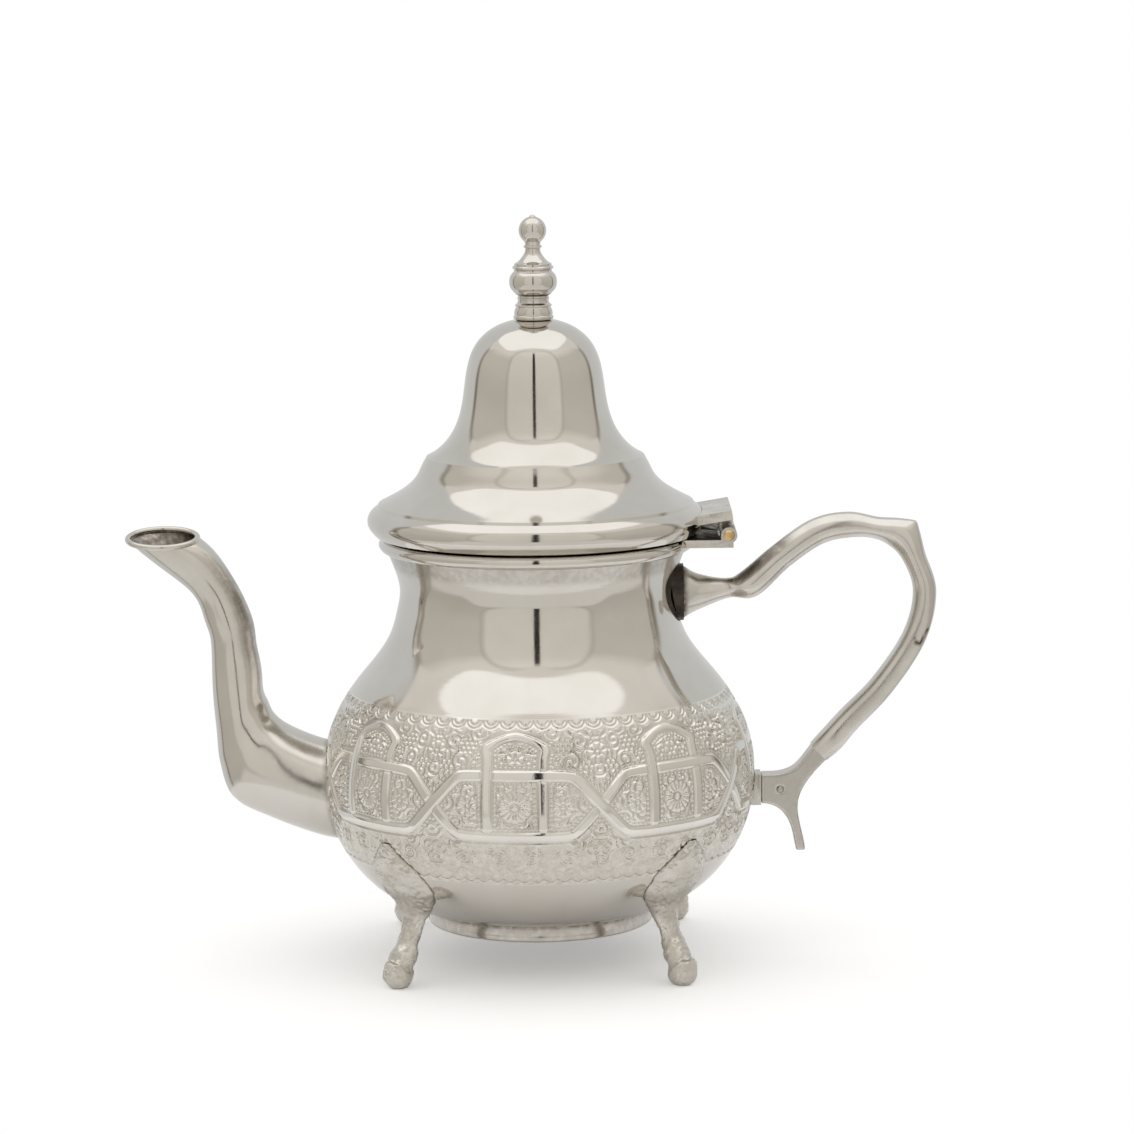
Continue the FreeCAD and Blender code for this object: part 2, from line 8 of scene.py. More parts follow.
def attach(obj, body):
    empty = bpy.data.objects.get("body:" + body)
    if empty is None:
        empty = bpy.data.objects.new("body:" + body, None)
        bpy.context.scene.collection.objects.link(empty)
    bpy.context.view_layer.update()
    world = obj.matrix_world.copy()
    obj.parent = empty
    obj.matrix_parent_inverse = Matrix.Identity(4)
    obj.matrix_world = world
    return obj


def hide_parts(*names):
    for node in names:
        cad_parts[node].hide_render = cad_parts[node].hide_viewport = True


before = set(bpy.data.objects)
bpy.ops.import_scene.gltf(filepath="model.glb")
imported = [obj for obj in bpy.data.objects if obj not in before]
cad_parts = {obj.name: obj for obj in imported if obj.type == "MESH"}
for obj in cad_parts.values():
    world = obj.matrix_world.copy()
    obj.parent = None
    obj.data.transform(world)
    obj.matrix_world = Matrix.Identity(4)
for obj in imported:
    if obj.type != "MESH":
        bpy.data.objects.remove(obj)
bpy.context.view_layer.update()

MM = 0.001

# %% [markdown]
# A footed teapot is mostly spun and bent sheet metal, so its forms are outlines that turn about the
# axis or rings that run along a path. A smooth outline could be drawn as a curve object, but a cubic
# line through a few measured spots is short, gives the same shape each time, and shares its spots with
# the solid model. All sizes below are millimetres and become metres only in the meshes.

# %% Smooth lines through measured spots
def smooth_line(spots, leave, arrive, steps):
    """Points on a cubic line through (radius, height) spots with given end directions."""
    p = np.array(spots, float)
    gaps = np.hypot(*np.diff(p, axis=0).T)
    place = np.concatenate([[0], np.cumsum(gaps)])
    last = len(p) - 1
    system = np.eye(last + 1)
    right = np.zeros((last + 1, 2))
    right[0] = np.array(leave) / np.hypot(*leave)
    right[last] = np.array(arrive) / np.hypot(*arrive)
    for i in range(1, last):
        before, after = gaps[i - 1], gaps[i]
        system[i, i - 1:i + 2] = after, 2 * (before + after), before
        right[i] = 3 * (after * (p[i] - p[i - 1]) / before + before * (p[i + 1] - p[i]) / after)
    pull = np.linalg.solve(system, right)
    along = np.linspace(0, place[-1], steps + 1)
    i = np.clip(np.searchsorted(place, along, side="right") - 1, 0, last - 1)
    h = gaps[i][:, None]
    t = (along - place[i])[:, None] / h
    start = (1 + 2 * t) * (1 - t) ** 2 * p[i] + t * (1 - t) ** 2 * h * pull[i]
    return start + t * t * (3 - 2 * t) * p[i + 1] + t * t * (t - 1) * h * pull[i + 1]


def set_in(line, depth):
    """The same line moved to its left, which is inwards for an outline that climbs."""
    way = np.gradient(line, axis=0)
    way /= np.hypot(way[:, 0], way[:, 1])[:, None]
    return line + depth * np.stack([-way[:, 1], way[:, 0]], axis=1)


def soft_step(low, high, value):
    """0 below low, 1 above high and a smooth change between."""
    t = np.clip((value - low) / (high - low), 0, 1)
    return t * t * (3 - 2 * t)


body_wall = 1.2
base_level, edge_level = 13.8, 107.6
body_spots = [
    (30.2, base_level), (45.6, 22.2), (56.4, 47.5), (53.2, 63.8),
    (45.4, 75.8), (37.5, 87.5), (35.7, 97.5), (38.8, edge_level),
]
body_line = smooth_line(body_spots, (1, 0.22), (0.45, 1), 600)
lining_line = set_in(body_line, body_wall)
widest = float(body_line[:, 0].max())


def body_radius(height):
    return np.interp(height, body_line[:, 1], body_line[:, 0])


print("body outline", len(body_line), "points, widest", round(widest, 2), "mm")

# %% [markdown]
# Two ways of making a mesh cover nearly all pieces. A turned piece starts as a ring of points laid on its
# outline, which the spin tool carries round the axis as a lathe does. A drawn piece starts as a flat grid
# that is rolled up along its path, and its open ends are filled. Both end with doubles merged and normals
# turned outwards, so each piece is one closed skin.

# %% Turned and drawn pieces
merge_distance = 0.000002


def only(obj):
    bpy.ops.object.select_all(action="DESELECT")
    obj.select_set(True)
    bpy.context.view_layer.objects.active = obj


def close_skin(obj, smooth_angle):
    only(obj)
    bpy.ops.object.mode_set(mode="EDIT")
    bpy.ops.mesh.select_all(action="SELECT")
    bpy.ops.mesh.remove_doubles(threshold=merge_distance)
    bpy.ops.mesh.fill_holes(sides=0)
    bpy.ops.mesh.select_all(action="SELECT")
    bpy.ops.mesh.normals_make_consistent(inside=False)
    bpy.ops.object.mode_set(mode="OBJECT")
    bpy.ops.object.shade_smooth_by_angle(angle=math.radians(smooth_angle))


def turned(name, outline, steps=192, smooth_angle=35):
    """Spins a closed outline of (radius, height) points about the axis."""
    bpy.ops.mesh.primitive_circle_add(vertices=len(outline), radius=0.01)
    obj = bpy.context.object
    obj.name = name
    for corner, (radius, height) in zip(obj.data.vertices, outline):
        corner.co = radius * MM, 0, height * MM
    bpy.ops.object.mode_set(mode="EDIT")
    bpy.ops.mesh.select_all(action="SELECT")
    bpy.ops.mesh.spin(steps=steps, angle=2 * math.pi, center=(0, 0, 0), axis=(0, 0, 1))
    bpy.ops.object.mode_set(mode="OBJECT")
    close_skin(obj, smooth_angle)
    print("turned", name, len(obj.data.polygons), "faces")
    return obj


def places(obj):
    """The piece's points in millimetres."""
    flat = np.empty(len(obj.data.vertices) * 3)
    obj.data.vertices.foreach_get("co", flat)
    return flat.reshape(-1, 3) / MM


def set_places(obj, spots):
    """Moves the piece's points to places in millimetres."""
    obj.data.vertices.foreach_set("co", (spots * MM).ravel())
    obj.data.update()


def mark(obj, name, values):
    """Writes one number per point that a material can read."""
    layer = obj.data.attributes.new(name, "FLOAT", "POINT")
    layer.data.foreach_set("value", np.ascontiguousarray(values, dtype=np.float32))


def drawn(name, rows, smooth_angle=40, **marks):
    """Rolls a grid over rows by columns of (x, y, z), with numbers per point."""
    count, columns = rows.shape[:2]
    bpy.ops.mesh.primitive_grid_add(x_subdivisions=columns - 1, y_subdivisions=count - 1, size=2)
    obj = bpy.context.object
    obj.name = name
    flat = places(obj) * MM
    i = np.rint((flat[:, 1] + 1) / 2 * (count - 1)).astype(int)
    j = np.rint((flat[:, 0] + 1) / 2 * (columns - 1)).astype(int)
    set_places(obj, rows[i, j])
    for label, values in marks.items():
        mark(obj, label, values[i, j])
    close_skin(obj, smooth_angle)
    print("drawn", name, len(obj.data.polygons), "faces")
    return obj


print("points closer than", merge_distance, "m are merged")

# %% [markdown]
# Small pieces whose solids already have the right form are copied, and their loose triangles merged.
# Every piece then gets its material and its body, and the solids that it stands for are hidden.

# %% Copies, and how a piece is finished
def cleaned(node, name, smooth_angle=35):
    """A copy of a solid's mesh with its loose triangles merged."""
    only(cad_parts[node])
    bpy.ops.object.duplicate()
    obj = bpy.context.object
    obj.name = name
    bpy.ops.object.mode_set(mode="EDIT")
    bpy.ops.mesh.select_all(action="SELECT")
    bpy.ops.mesh.remove_doubles(threshold=merge_distance)
    bpy.ops.object.mode_set(mode="OBJECT")
    bpy.ops.object.shade_smooth_by_angle(angle=math.radians(smooth_angle))
    return obj


def facing(obj):
    return np.array([corner.normal for corner in obj.data.vertices])


def finish_piece(obj, material, *nodes, body="pot", slot="polished_plate"):
    """Gives a piece its body and finish, and hides the solids it stands for."""
    obj.data.materials.clear()
    obj.data.materials.append(material)
    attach(obj, body)
    if nodes:
        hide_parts(*nodes)


print("copies can be made of", len(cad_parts), "solids")

# %% [markdown]
# Silver plate is never one even colour. Polishing leaves soft clouds and hair scratches, the hollows of
# the engraving keep a brown tarnish that the cloth can't reach, and castings stay rough. Every finish
# here is metal whose colour and gloss drift with noise on the piece's own coordinates. It darkens where
# the numbers written on the mesh say so: real dirt and tarnish on some pieces, painted shade on others.

# %% A metal finish
def add_node(tree, kind, values=None, links=None, operation=None):
    """A shader node with constants on some sockets and links into others."""
    node = tree.nodes.new("ShaderNode" + kind)
    if operation:
        node.operation = operation
    for socket, value in (values or {}).items():
        node.inputs[socket].default_value = value
    for socket, source in (links or {}).items():
        tree.links.new(source, node.inputs[socket])
    return node


def noise(tree, where, size, detail):
    """Noise by place, its size in millimetres."""
    node = add_node(tree, "TexNoise", {"Scale": 1 / (size * MM), "Detail": detail}, {"Vector": where})
    return node.outputs["Fac"]


def value_range(tree, value, first, last, to_first=0.0, to_last=1.0):
    limits = {"From Min": first, "From Max": last, "To Min": to_first, "To Max": to_last}
    return add_node(tree, "MapRange", limits, {"Value": value}).outputs["Result"]


def colour_mix(tree, share, under_colour, over_colour):
    """Two colours mixed; each is a tuple or a socket."""
    node = tree.nodes.new("ShaderNodeMix")
    node.data_type = "RGBA"
    tree.links.new(share, node.inputs["Factor"])
    for socket, value in ((node.inputs["A"], under_colour), (node.inputs["B"], over_colour)):
        if isinstance(value, tuple):
            socket.default_value = (*value, 1)
        else:
            tree.links.new(value, socket)
    return node.outputs["Result"]


def metal(name, clean, cloudy, dirty_and_shaded, gloss, cloud_size, grain_size, grain_depth, dirt_and_shade_name="grime"):
    """A metal finish; gloss is its lowest and highest roughness, sizes are millimetres."""
    material = bpy.data.materials.new(name)
    material.use_nodes = True
    tree = material.node_tree
    shader = tree.nodes["Principled BSDF"]
    shader.inputs["Metallic"].default_value = 1
    where = add_node(tree, "TexCoord").outputs["Object"]
    clouds = noise(tree, where, cloud_size, 5)
    tint = add_node(tree, "ValToRGB", links={"Fac": clouds})
    for stop, position, colour in zip(tint.color_ramp.elements, (0.38, 0.75), (clean, cloudy)):
        stop.position = position
        stop.color = (*colour, 1)
    # The darkening read here is real dirt and tarnish on some pieces and painted shade on others.
    dirt_and_shade = add_node(tree, "Attribute")
    dirt_and_shade.attribute_name = dirt_and_shade_name
    broken = value_range(tree, noise(tree, where, 1.6, 3), 0.3, 0.6, 0.45)
    soil_and_shade = add_node(tree, "Math", None, {0: dirt_and_shade.outputs["Fac"], 1: broken}, "MULTIPLY").outputs[0]
    coat = colour_mix(tree, soil_and_shade, tint.outputs["Color"], dirty_and_shaded)
    polish = value_range(tree, clouds, 0.35, 0.8, *gloss)
    dull = add_node(tree, "Math", {1: 0.3}, {0: soil_and_shade, 2: polish}, "MULTIPLY_ADD")
    grain = noise(tree, where, grain_size, 4)
    bump = add_node(tree, "Bump", {"Strength": 0.5, "Distance": grain_depth * MM}, {"Height": grain})
    tree.links.new(coat, shader.inputs["Base Color"])
    tree.links.new(dull.outputs[0], shader.inputs["Roughness"])
    tree.links.new(bump.outputs["Normal"], shader.inputs["Normal"])
    return material


def turning_lines(material, spacing, depth):
    """Adds the hair lines that a spinning tool leaves round a turned piece."""
    tree = material.node_tree
    surface = tree.nodes["Principled BSDF"].inputs["Normal"]
    where = add_node(tree, "TexCoord").outputs["Object"]
    stretch = add_node(tree, "Mapping", {"Scale": (0.02, 0.02, 1)}, {"Vector": where})
    hair = noise(tree, stretch.outputs["Vector"], spacing, 2)
    sources = {"Height": hair, "Normal": surface.links[0].from_socket}
    lines = add_node(tree, "Bump", {"Strength": 1, "Distance": depth * MM}, sources)
    tree.links.new(lines.outputs["Normal"], surface)


print("a finish mixes clean, cloudy and dirty colours")

# %% Finishes
bright_silver, pale_silver = (0.83, 0.805, 0.76), (0.75, 0.72, 0.675)
silver, warm_silver = (0.70, 0.67, 0.625), (0.65, 0.615, 0.565)
# The recess grey colours the engraving's tarnished hollows, and also painted shade low on the band.
filed_grey, cast_grey, recess_grey = (0.60, 0.57, 0.52), (0.58, 0.54, 0.475), (0.58, 0.54, 0.48)
cast_pale = (0.70, 0.67, 0.62)
# The tarnish colour is used for real tarnish and also for painted shade.
tarnish_and_shade = (0.10, 0.07, 0.045)
# These near-black colours are painted shade for the handle's boss.
painted_dark, painted_dark_brown, painted_darkest = (0.05, 0.043, 0.04), (0.13, 0.105, 0.085), (0.03, 0.02, 0.015)
brass, dull_brass, brass_dirt = (0.78, 0.58, 0.30), (0.60, 0.42, 0.20), (0.12, 0.08, 0.04)
mirror, satin, filed_gloss, cast_gloss = (0.06, 0.12), (0.14, 0.24), (0.17, 0.28), (0.22, 0.36)
polished_silver = metal("polished_silver", silver, warm_silver, tarnish_and_shade, mirror, 14, 6, 0.03)
spun_silver = metal("spun_silver", silver, warm_silver, tarnish_and_shade, mirror, 14, 9, 0.03)
turning_lines(spun_silver, 0.5, 0.006)
drawn_silver = metal("drawn_silver", silver, warm_silver, tarnish_and_shade, satin, 10, 3, 0.05)
engraved_silver = metal(
    "engraved_silver", bright_silver, pale_silver, recess_grey, (0.05, 0.11), 9, 0.8, 0.012, "recess")
cast_silver = metal("cast_silver", cast_pale, cast_grey, tarnish_and_shade, cast_gloss, 4, 0.9, 0.14)
handle_silver = metal("handle_silver", silver, filed_grey, tarnish_and_shade, filed_gloss, 7, 1.4, 0.02)
painted_shade_plate = metal("painted_shade_plate", painted_dark, painted_dark_brown, painted_darkest, (0.30, 0.5), 3, 0.8, 0.12)
bare_brass = metal("bare_brass", brass, dull_brass, brass_dirt, (0.14, 0.28), 3, 0.8, 0.03)
print("finishes", [material.name for material in bpy.data.materials if material.use_nodes])

# %% [markdown]
# The belly carries a broad band of chased ornament. Its plan, read off the photograph, is eight equal
# units round the pot. Each unit has a round arch whose two legs run down, and two straps weave through
# all units: where one runs high the other runs low, and they cross between units. Between the straps
# lie rosettes, scrolls and rows of beads on a sunken ground. The relief is cut inwards, so that the
# strap tops lie on the spun surface. A sculpted brush or a picture could give it too, but a height
# worked out from distances to the drawn lines stays crisp and is the same on every unit.

# %% Plan of the engraved band
band_low, band_high = 29.6, 71.4
units = 8
unit_turn = 360 / units
unit_shift = 6.0
mm_per_degree = 0.955
strap_half = 1.22
ground_depth = 0.62
rise = np.concatenate([[0], np.cumsum(np.hypot(*np.diff(body_line, axis=0).T))])


def climb(height):
    """Distance up the outline to a height, so that patterns aren't squashed on the slopes."""
    return np.interp(height, body_line[:, 1], rise)


def rounded(path, passes):
    """Cuts a path's corners again and again until they are round."""
    for _ in range(passes):
        softer = [path[0]]
        for (ax, ay), (bx, by) in zip(path[:-1], path[1:]):
            softer.append((0.75 * ax + 0.25 * bx, 0.75 * ay + 0.25 * by))
            softer.append((0.25 * ax + 0.75 * bx, 0.25 * ay + 0.75 * by))
        path = softer + [path[-1]]
    return path


def on_band(path):
    return [(x, float(climb(z))) for x, z in path]


def near_path(x, y, path):
    """Distance to a drawn path, and how far along it the nearest spot lies."""
    best = np.full(x.shape, 1e9)
    along = np.zeros(x.shape)
    run = 0.0
    for (ax, ay), (bx, by) in zip(path[:-1], path[1:]):
        dx, dy = bx - ax, by - ay
        length = math.hypot(dx, dy)
        t = np.clip(((x - ax) * dx + (y - ay) * dy) / length ** 2, 0, 1)
        gap = np.hypot(x - ax - t * dx, y - ay - t * dy)
        along = np.where(gap < best, run + t * length, along)
        best = np.minimum(best, gap)
        run += length
    return best, along


edge = unit_turn / 2 * mm_per_degree
straight, bend, crossing = 13.4, 15.6, 50.4
high_level, high_bend = 58.2, 57.2
low_level, low_bend = 42.6, 43.6
arch_spots = [(0, 67.7), (2.6, 67.3), (5.6, 66.2), (7.9, 64.6), (7.1, 62.4), (7.0, 60), (7.0, 44.0)]


def strap_path(level, near_bend, far_bend):
    spots = [(0, level), (straight, level), (bend, near_bend), (edge, crossing), (2 * edge - bend, far_bend)]
    return on_band(rounded(spots, 2))


arch_path = on_band(rounded(arch_spots, 1))
high_path = strap_path(high_level, high_bend, low_bend)
low_path = strap_path(low_level, low_bend, high_bend)
print("strap paths", len(arch_path), len(high_path), len(low_path), "points, unit", round(2 * edge, 1), "mm")

# %% [markdown]
# Each kind of mark in the ornament is a small height formula between 0, the ground, and 1, the strap
# tops: a rounded strap, a rosette of petals round a bead, small spirals packed side by side, fields and
# rows of punched beads, and thin cut lines. A strap that passes under another one dips beside it.

# %% Marks of the ornament
row_share = 0.87


def bead(gap, radius):
    return 0.5 + 0.5 * np.cos(math.pi * np.clip(gap / radius, 0, 1))


def strap_top(gap, half=strap_half):
    return 1 - soft_step(half - 0.5, half + 0.35, gap)


def rosette(x, y, cx, cy, radius, petals):
    far = np.hypot(x - cx, y - cy)
    turn = np.arctan2(y - cy, x - cx)
    petal = np.abs(np.cos(petals * turn / 2)) ** 0.8
    leaf = petal * soft_step(0.25, 0.40, far / radius) * (1 - soft_step(0.70, 1.0, far / radius))
    return np.maximum(0.8 * leaf, 0.9 * bead(far, 0.24 * radius))


def scrollwork(x, y, spacing=4.3, line=1.65, wander=0.8):
    """Small spirals packed side by side, each the other way round from its neighbour."""
    nearest = np.full(x.shape, 1e9)
    winding = np.zeros(x.shape)
    row_step = row_share * spacing
    for j in range(math.ceil((climb(band_high) - climb(band_low)) / row_step)):
        for i in range(math.ceil(edge / spacing) + 1):
            across = x - spacing * (i + 0.5 * (j % 2)) - wander * math.sin(5.1 * i + 2.3 * j)
            above = y - climb(band_low) - row_step * j - wander * math.sin(3.7 * i + 4.9 * j)
            far = np.hypot(across, above)
            closer = far < nearest
            hand = 1 if (i + j) % 2 else -1
            curl = hand * np.arctan2(above[closer], across[closer])
            winding[closer] = 2 * math.pi * far[closer] / line + curl
            nearest = np.minimum(nearest, far)
    return 0.5 + 0.5 * np.cos(winding)


def bead_field(x, y, pitch=1.4):
    row = np.round(y / (row_share * pitch))
    across = (x / pitch - 0.5 * np.mod(row, 2) + 0.5) % 1 - 0.5
    return bead(np.hypot(across * pitch, y - row * row_share * pitch), 0.52 * pitch)


def patch(x, y, cx, height, radius):
    """1 inside a round patch, 0 outside it."""
    return 1 - soft_step(radius - 0.7, radius, np.hypot(x - cx, y - climb(height)))


def line_at(gap, half=0.12, soft=0.24):
    """1 on a thin cut line, given the distance to it."""
    return 1 - soft_step(half, half + soft, np.abs(gap))


print("marks: strap, rosette, scrollwork, beads, patch and line")

# %% Where each spot of the band lies in its unit
def unit_place(degrees, height):
    """Distance from the unit's middle, height along the wall, side, and whether the unit is even."""
    unit = np.round((degrees + unit_shift) / unit_turn)
    local = (degrees + unit_shift - unit * unit_turn) * mm_per_degree
    return np.abs(local), climb(height), local, np.mod(unit, 2) == 0


def under(gap):
    """How far a strap dips beside the one that passes over it."""
    return 0.55 * (1 - soft_step(strap_half, strap_half + 0.8, gap))


def strap_relief(degrees, height):
    """The woven straps from 0 to 1, with the distance to the nearest one's edge and along it."""
    x, y, local, even = unit_place(degrees, height)
    arch, arch_run = near_path(x, y, arch_path)
    high, high_run = near_path(x, y, high_path)
    low, low_run = near_path(x, y, low_path)
    arch_half = strap_half - 0.4 * soft_step(64.5, 66.5, height)
    outer = x > 12
    arch_top = strap_top(arch, arch_half) - under(low) * (height < 50)
    arch_top = arch_top - under(high) * (local > 0) * (height < 62)
    high_top = strap_top(high) - under(low) * outer * ~even - under(arch) * (local < 0) * ~outer
    low_top = strap_top(low) - under(high) * outer * even
    top = np.clip(np.max([arch_top, high_top, low_top], axis=0), 0, 1)
    gaps = np.stack([arch - arch_half, high - strap_half, low - strap_half])
    runs = np.stack([arch_run, high_run, low_run])
    first = gaps.argmin(axis=0)[None]
    return top, np.take_along_axis(gaps, first, 0)[0], np.take_along_axis(runs, first, 0)[0]


print("straps are", 2 * strap_half, "mm wide")

# %% Fill between the straps
rosettes = [(0, crossing, 4.4, 16), (0, 62.2, 2.6, 6), (11.9, crossing, 3.0, 8), (edge, 63.4, 3.0, 8)]
bead_patches = [
    (12.6, 65.0, 2.7), (18.4, 60.6, 2.1), (edge, 67.0, 2.0), (9.8, 61.6, 1.8),
    (3.6, 61.4, 1.8), (0, 65.4, 1.5),
]
row_gap, row_pitch, row_bead = 0.85, 1.2, 0.42


def filled_ground(x, y, height, clear, run, spirals):
    """Rosettes, beads and scrolls from 0 to 1, with a row of beads along each strap."""
    beaded = np.max([patch(x, y, *spot) for spot in bead_patches], axis=0)
    fill = np.where(beaded > 0.5, 0.95 * bead_field(x, y), 0.9 * spirals)
    for cx, level, radius, petals in rosettes:
        inside = np.hypot(x - cx, y - climb(level)) < radius
        fill = np.where(inside, rosette(x, y, cx, climb(level), radius, petals), fill)
    fill *= soft_step(0.1, 0.5, clear)
    along = (run + row_pitch / 2) % row_pitch - row_pitch / 2
    row = bead(np.hypot(along, clear - row_gap), row_bead) * (height > 44) * (height < 66)
    return np.maximum(np.where(clear < row_gap + 0.5, 0, fill), 0.8 * row)


print(len(rosettes), "rosettes and", len(bead_patches), "bead patches a half unit")

# %% Thin cut lines above and below the straps
low_clusters = [(4.4, 37.6, 3.0), (13.0, 37.4, 3.4), (edge, 38.2, 4.0)]
border_cells, wave_cells = 72, 96
border_knot, wave_foot, wave_height, ring_level = 70.9, 30.2, 0.9, 38.2
border_shrink = 0.91


def crescent_lines(turn, y, height, clear):
    """Double crescents along the band's upper edge."""
    cell = ((turn * border_cells) % 1 - 0.5) * 360 / border_cells * mm_per_degree * border_shrink
    from_knot = np.hypot(cell, y - climb(border_knot))
    lines = np.maximum(line_at(from_knot - 2.1), line_at(from_knot - 1.2))
    return lines * (height < border_knot) * soft_step(0.0, 0.4, clear)


def faint_scrolls(x, y, height, spirals, sunk):
    """Worn scrolls below the straps, stronger in a few clusters."""
    clusters = np.max([patch(x, y, *spot) for spot in low_clusters], axis=0) * (1 - sunk) * (height < 50)
    low_zone = soft_step(31.6, 33.0, height) * (1 - soft_step(39.6, 41.0, height))
    return (0.35 + 0.65 * clusters) * (1 - spirals) * low_zone * (1 - sunk)


print(border_cells, "crescents above and", wave_cells, "scallops below")

# %% Height of the relief
ground_foot, ground_head = 41.4, 66.8


def relief(degrees, height):
    """Depth below the spun surface and share of grey, with painted shade low on the band, by degrees from the
    front and height.
    """
    straps, clear, run = strap_relief(degrees, height)
    x, y, _, _ = unit_place(degrees, height)
    spirals = scrollwork(x, y)
    lowest = ground_foot - 3.2 * soft_step(12, 17, x)
    sunk = soft_step(lowest, lowest + 2.8, height) * (1 - soft_step(ground_head, ground_head + 2.6, height))
    worn = 0.82 + 0.18 * np.sin(0.11 * degrees + 0.31 * height)
    worn += 0.16 * np.sin(0.37 * degrees - 0.23 * height)
    hollow = 1 - np.maximum(straps, filled_ground(x, y, height, clear, run, spirals))
    turn = (degrees + unit_shift) / 360
    crescents = crescent_lines(turn, y, height, clear)
    faint = faint_scrolls(x, y, height, spirals, sunk)
    far = np.hypot(x, y - climb(ring_level))
    rings = line_at((far + 0.3) % 1.6 - 0.8, 0.1, 0.25) * (far < 5.2) * (height < 37.4) * (height > 32.4)
    hump = 1 - np.cos(math.pi * ((turn * wave_cells) % 1 - 0.5))
    wave = line_at(y - climb(wave_foot + wave_height * hump), 0.1, 0.2)
    lower_edge = line_at(clear - 0.1, 0.08, 0.25) * (height < 43.5) * (height > 39.5)
    depth = ground_depth * sunk * hollow * worn + 0.22 * crescents
    depth += np.max([0.34 * faint, 0.2 * rings, 0.22 * wave], axis=0)
    depth = np.maximum(depth, 0.2 * lower_edge)
    lines = np.max([crescents, lower_edge, rings, faint], axis=0)
    # Painted shade: the band is greyed below 40 to 43 mm height, where it faces down towards the floor.
    lower_band_shade = 0.75 * (1 - soft_step(40, 43, height))
    grey = np.max([0.8 * sunk * hollow ** 2 * worn, 0.8 * wave, 0.6 * lines, lower_band_shade], axis=0)
    calm = soft_step(band_low, band_low + 0.3, height) * (1 - soft_step(band_high - 0.3, band_high, height))
    return depth * calm, grey * calm


print("ground is sunk", ground_depth, "mm")

# %% [markdown]
# The band is made as four quarters, because the relief needs a fine mesh. Each is one grid rolled round
# its own wall: fine rows over the outside, where the relief is cut, and a few coarse rows up the plain
# inside. A very narrow step at each end keeps the shading smooth from one quarter to the next.

# %% Engraved band in four quarters
fine = 0.22
seam = 0.02
inside_rows = 7


def with_seams(first, last, count):
    """Even steps with a very narrow one at each end."""
    steps = np.linspace(first, last, count + 1)
    return np.concatenate([[first, first + seam], steps[1:-1], [last - seam, last]])


def band_quarter(name, middle):
    degrees = middle + with_seams(-45, 45, round(math.pi * widest / 2 / fine))
    foot, head = climb(band_low), climb(band_high)
    heights = np.interp(with_seams(foot, head, round((head - foot) / fine)), rise, body_line[:, 1])
    grid_degrees, grid_heights = np.meshgrid(degrees, heights)
    depth, grey = relief(grid_degrees, grid_heights)
    slope = np.gradient(body_line, axis=0)
    lean = np.interp(grid_heights, body_line[:, 1], np.arctan2(slope[:, 1], slope[:, 0]))
    radius = body_radius(grid_heights) - depth * np.sin(lean)
    level = grid_heights + depth * np.cos(lean)
    inside = np.linspace(band_high, band_low, inside_rows)
    wall = np.interp(inside, lining_line[:, 1], lining_line[:, 0])
    radius = np.vstack([radius, np.repeat(wall[:, None], len(degrees), 1), radius[:1]])
    level = np.vstack([level, np.repeat(inside[:, None], len(degrees), 1), level[:1]])
    grey = np.vstack([grey, np.zeros((inside_rows + 1, len(degrees)))])
    turn = np.radians(degrees)[None, :]
    rows = np.stack([radius * np.sin(turn), -radius * np.cos(turn), level], axis=2)
    obj = drawn(name, rows, 75, recess=grey)
    finish_piece(obj, engraved_silver, "body_shell", slot="engraved_plate")


band_quarter("band_front_left", -45)
band_quarter("band_front_right", 45)
band_quarter("band_back_right", 135)
band_quarter("band_back_left", 225)

# %% [markdown]
# Above and below the band the body is plain polished sheet. Both pieces are turned from the same outline
# as the band, with the wall's thickness, so all meet without a step. The neck has spots of its own, up to
# a third of a millimetre off.

# %% Plain parts of the body
def lining_at(level):
    return [np.interp(level, lining_line[:, 1], lining_line[:, 0]), level]


def wall_between(low, high):
    outside = body_line[(body_line[:, 1] > low + 0.1) & (body_line[:, 1] < high - 0.1)][::2]
    ends = [[body_radius(level), level] for level in (low, low + seam, high - seam, high)]
    outside = np.vstack([ends[:2], outside, ends[2:]])
    inside = lining_line[(lining_line[:, 1] > low) & (lining_line[:, 1] < high)][::6]
    return outside, np.vstack([lining_at(low), inside, lining_at(high)])


neck_outside, neck_inside = wall_between(band_high, edge_level)
neck_spots = [
    (48.71, band_high), (43.75, 77.6), (38.35, 85.6), (36.35, 92.2),
    (35.62, 97.5), (36.6, 102.0), (38.8, edge_level),
]
neck_line = smooth_line(neck_spots, (-0.574, 0.819), (0.45, 1), 150)
neck_outside[2:-2, 0] = np.interp(neck_outside[2:-2, 1], neck_line[:, 1], neck_line[:, 0])
neck = turned("body_neck", np.vstack([neck_outside, neck_inside[::-1]]))
# Painted shade: a dark band just under the rolled rim stands in for the rim's shade and dark reflection.
mark(neck, "grime", 0.3 * soft_step(102.2, 104.6, places(neck)[:, 2]))
finish_piece(neck, spun_silver, "body_shell")
floor_level = base_level + body_wall
base_outside, base_inside = wall_between(base_level + 0.05, band_low)
base_floor = [[0, base_level], [15, base_level], [30.0, base_level]]
base_lining = [[29.8, floor_level], [15, floor_level], [0, floor_level]]
base_inside = base_inside[base_inside[:, 1] > floor_level + 0.2]
base = turned("body_base", np.vstack([base_floor, base_outside, base_inside[::-1], base_lining]))
# Painted shade: the base darkens towards its bottom, where it faces the floor.
mark(base, "grime", 0.22 * (1 - soft_step(14.5, 18, places(base)[:, 2])))
finish_piece(base, spun_silver, "body_shell")

# %% [markdown]
# The rim is a heavy rolled bead on the neck's edge, and the base ring a short drum that lifts the belly.
# Both are lathe work. A small radius on each edge catches the light, as worn plate does.

# %% Rim and base ring
def arc_points(cx, cz, radius, first, last, count):
    turn = np.radians(np.linspace(first, last, count))
    return np.stack([cx + radius * np.cos(turn), cz + radius * np.sin(turn)], axis=1)


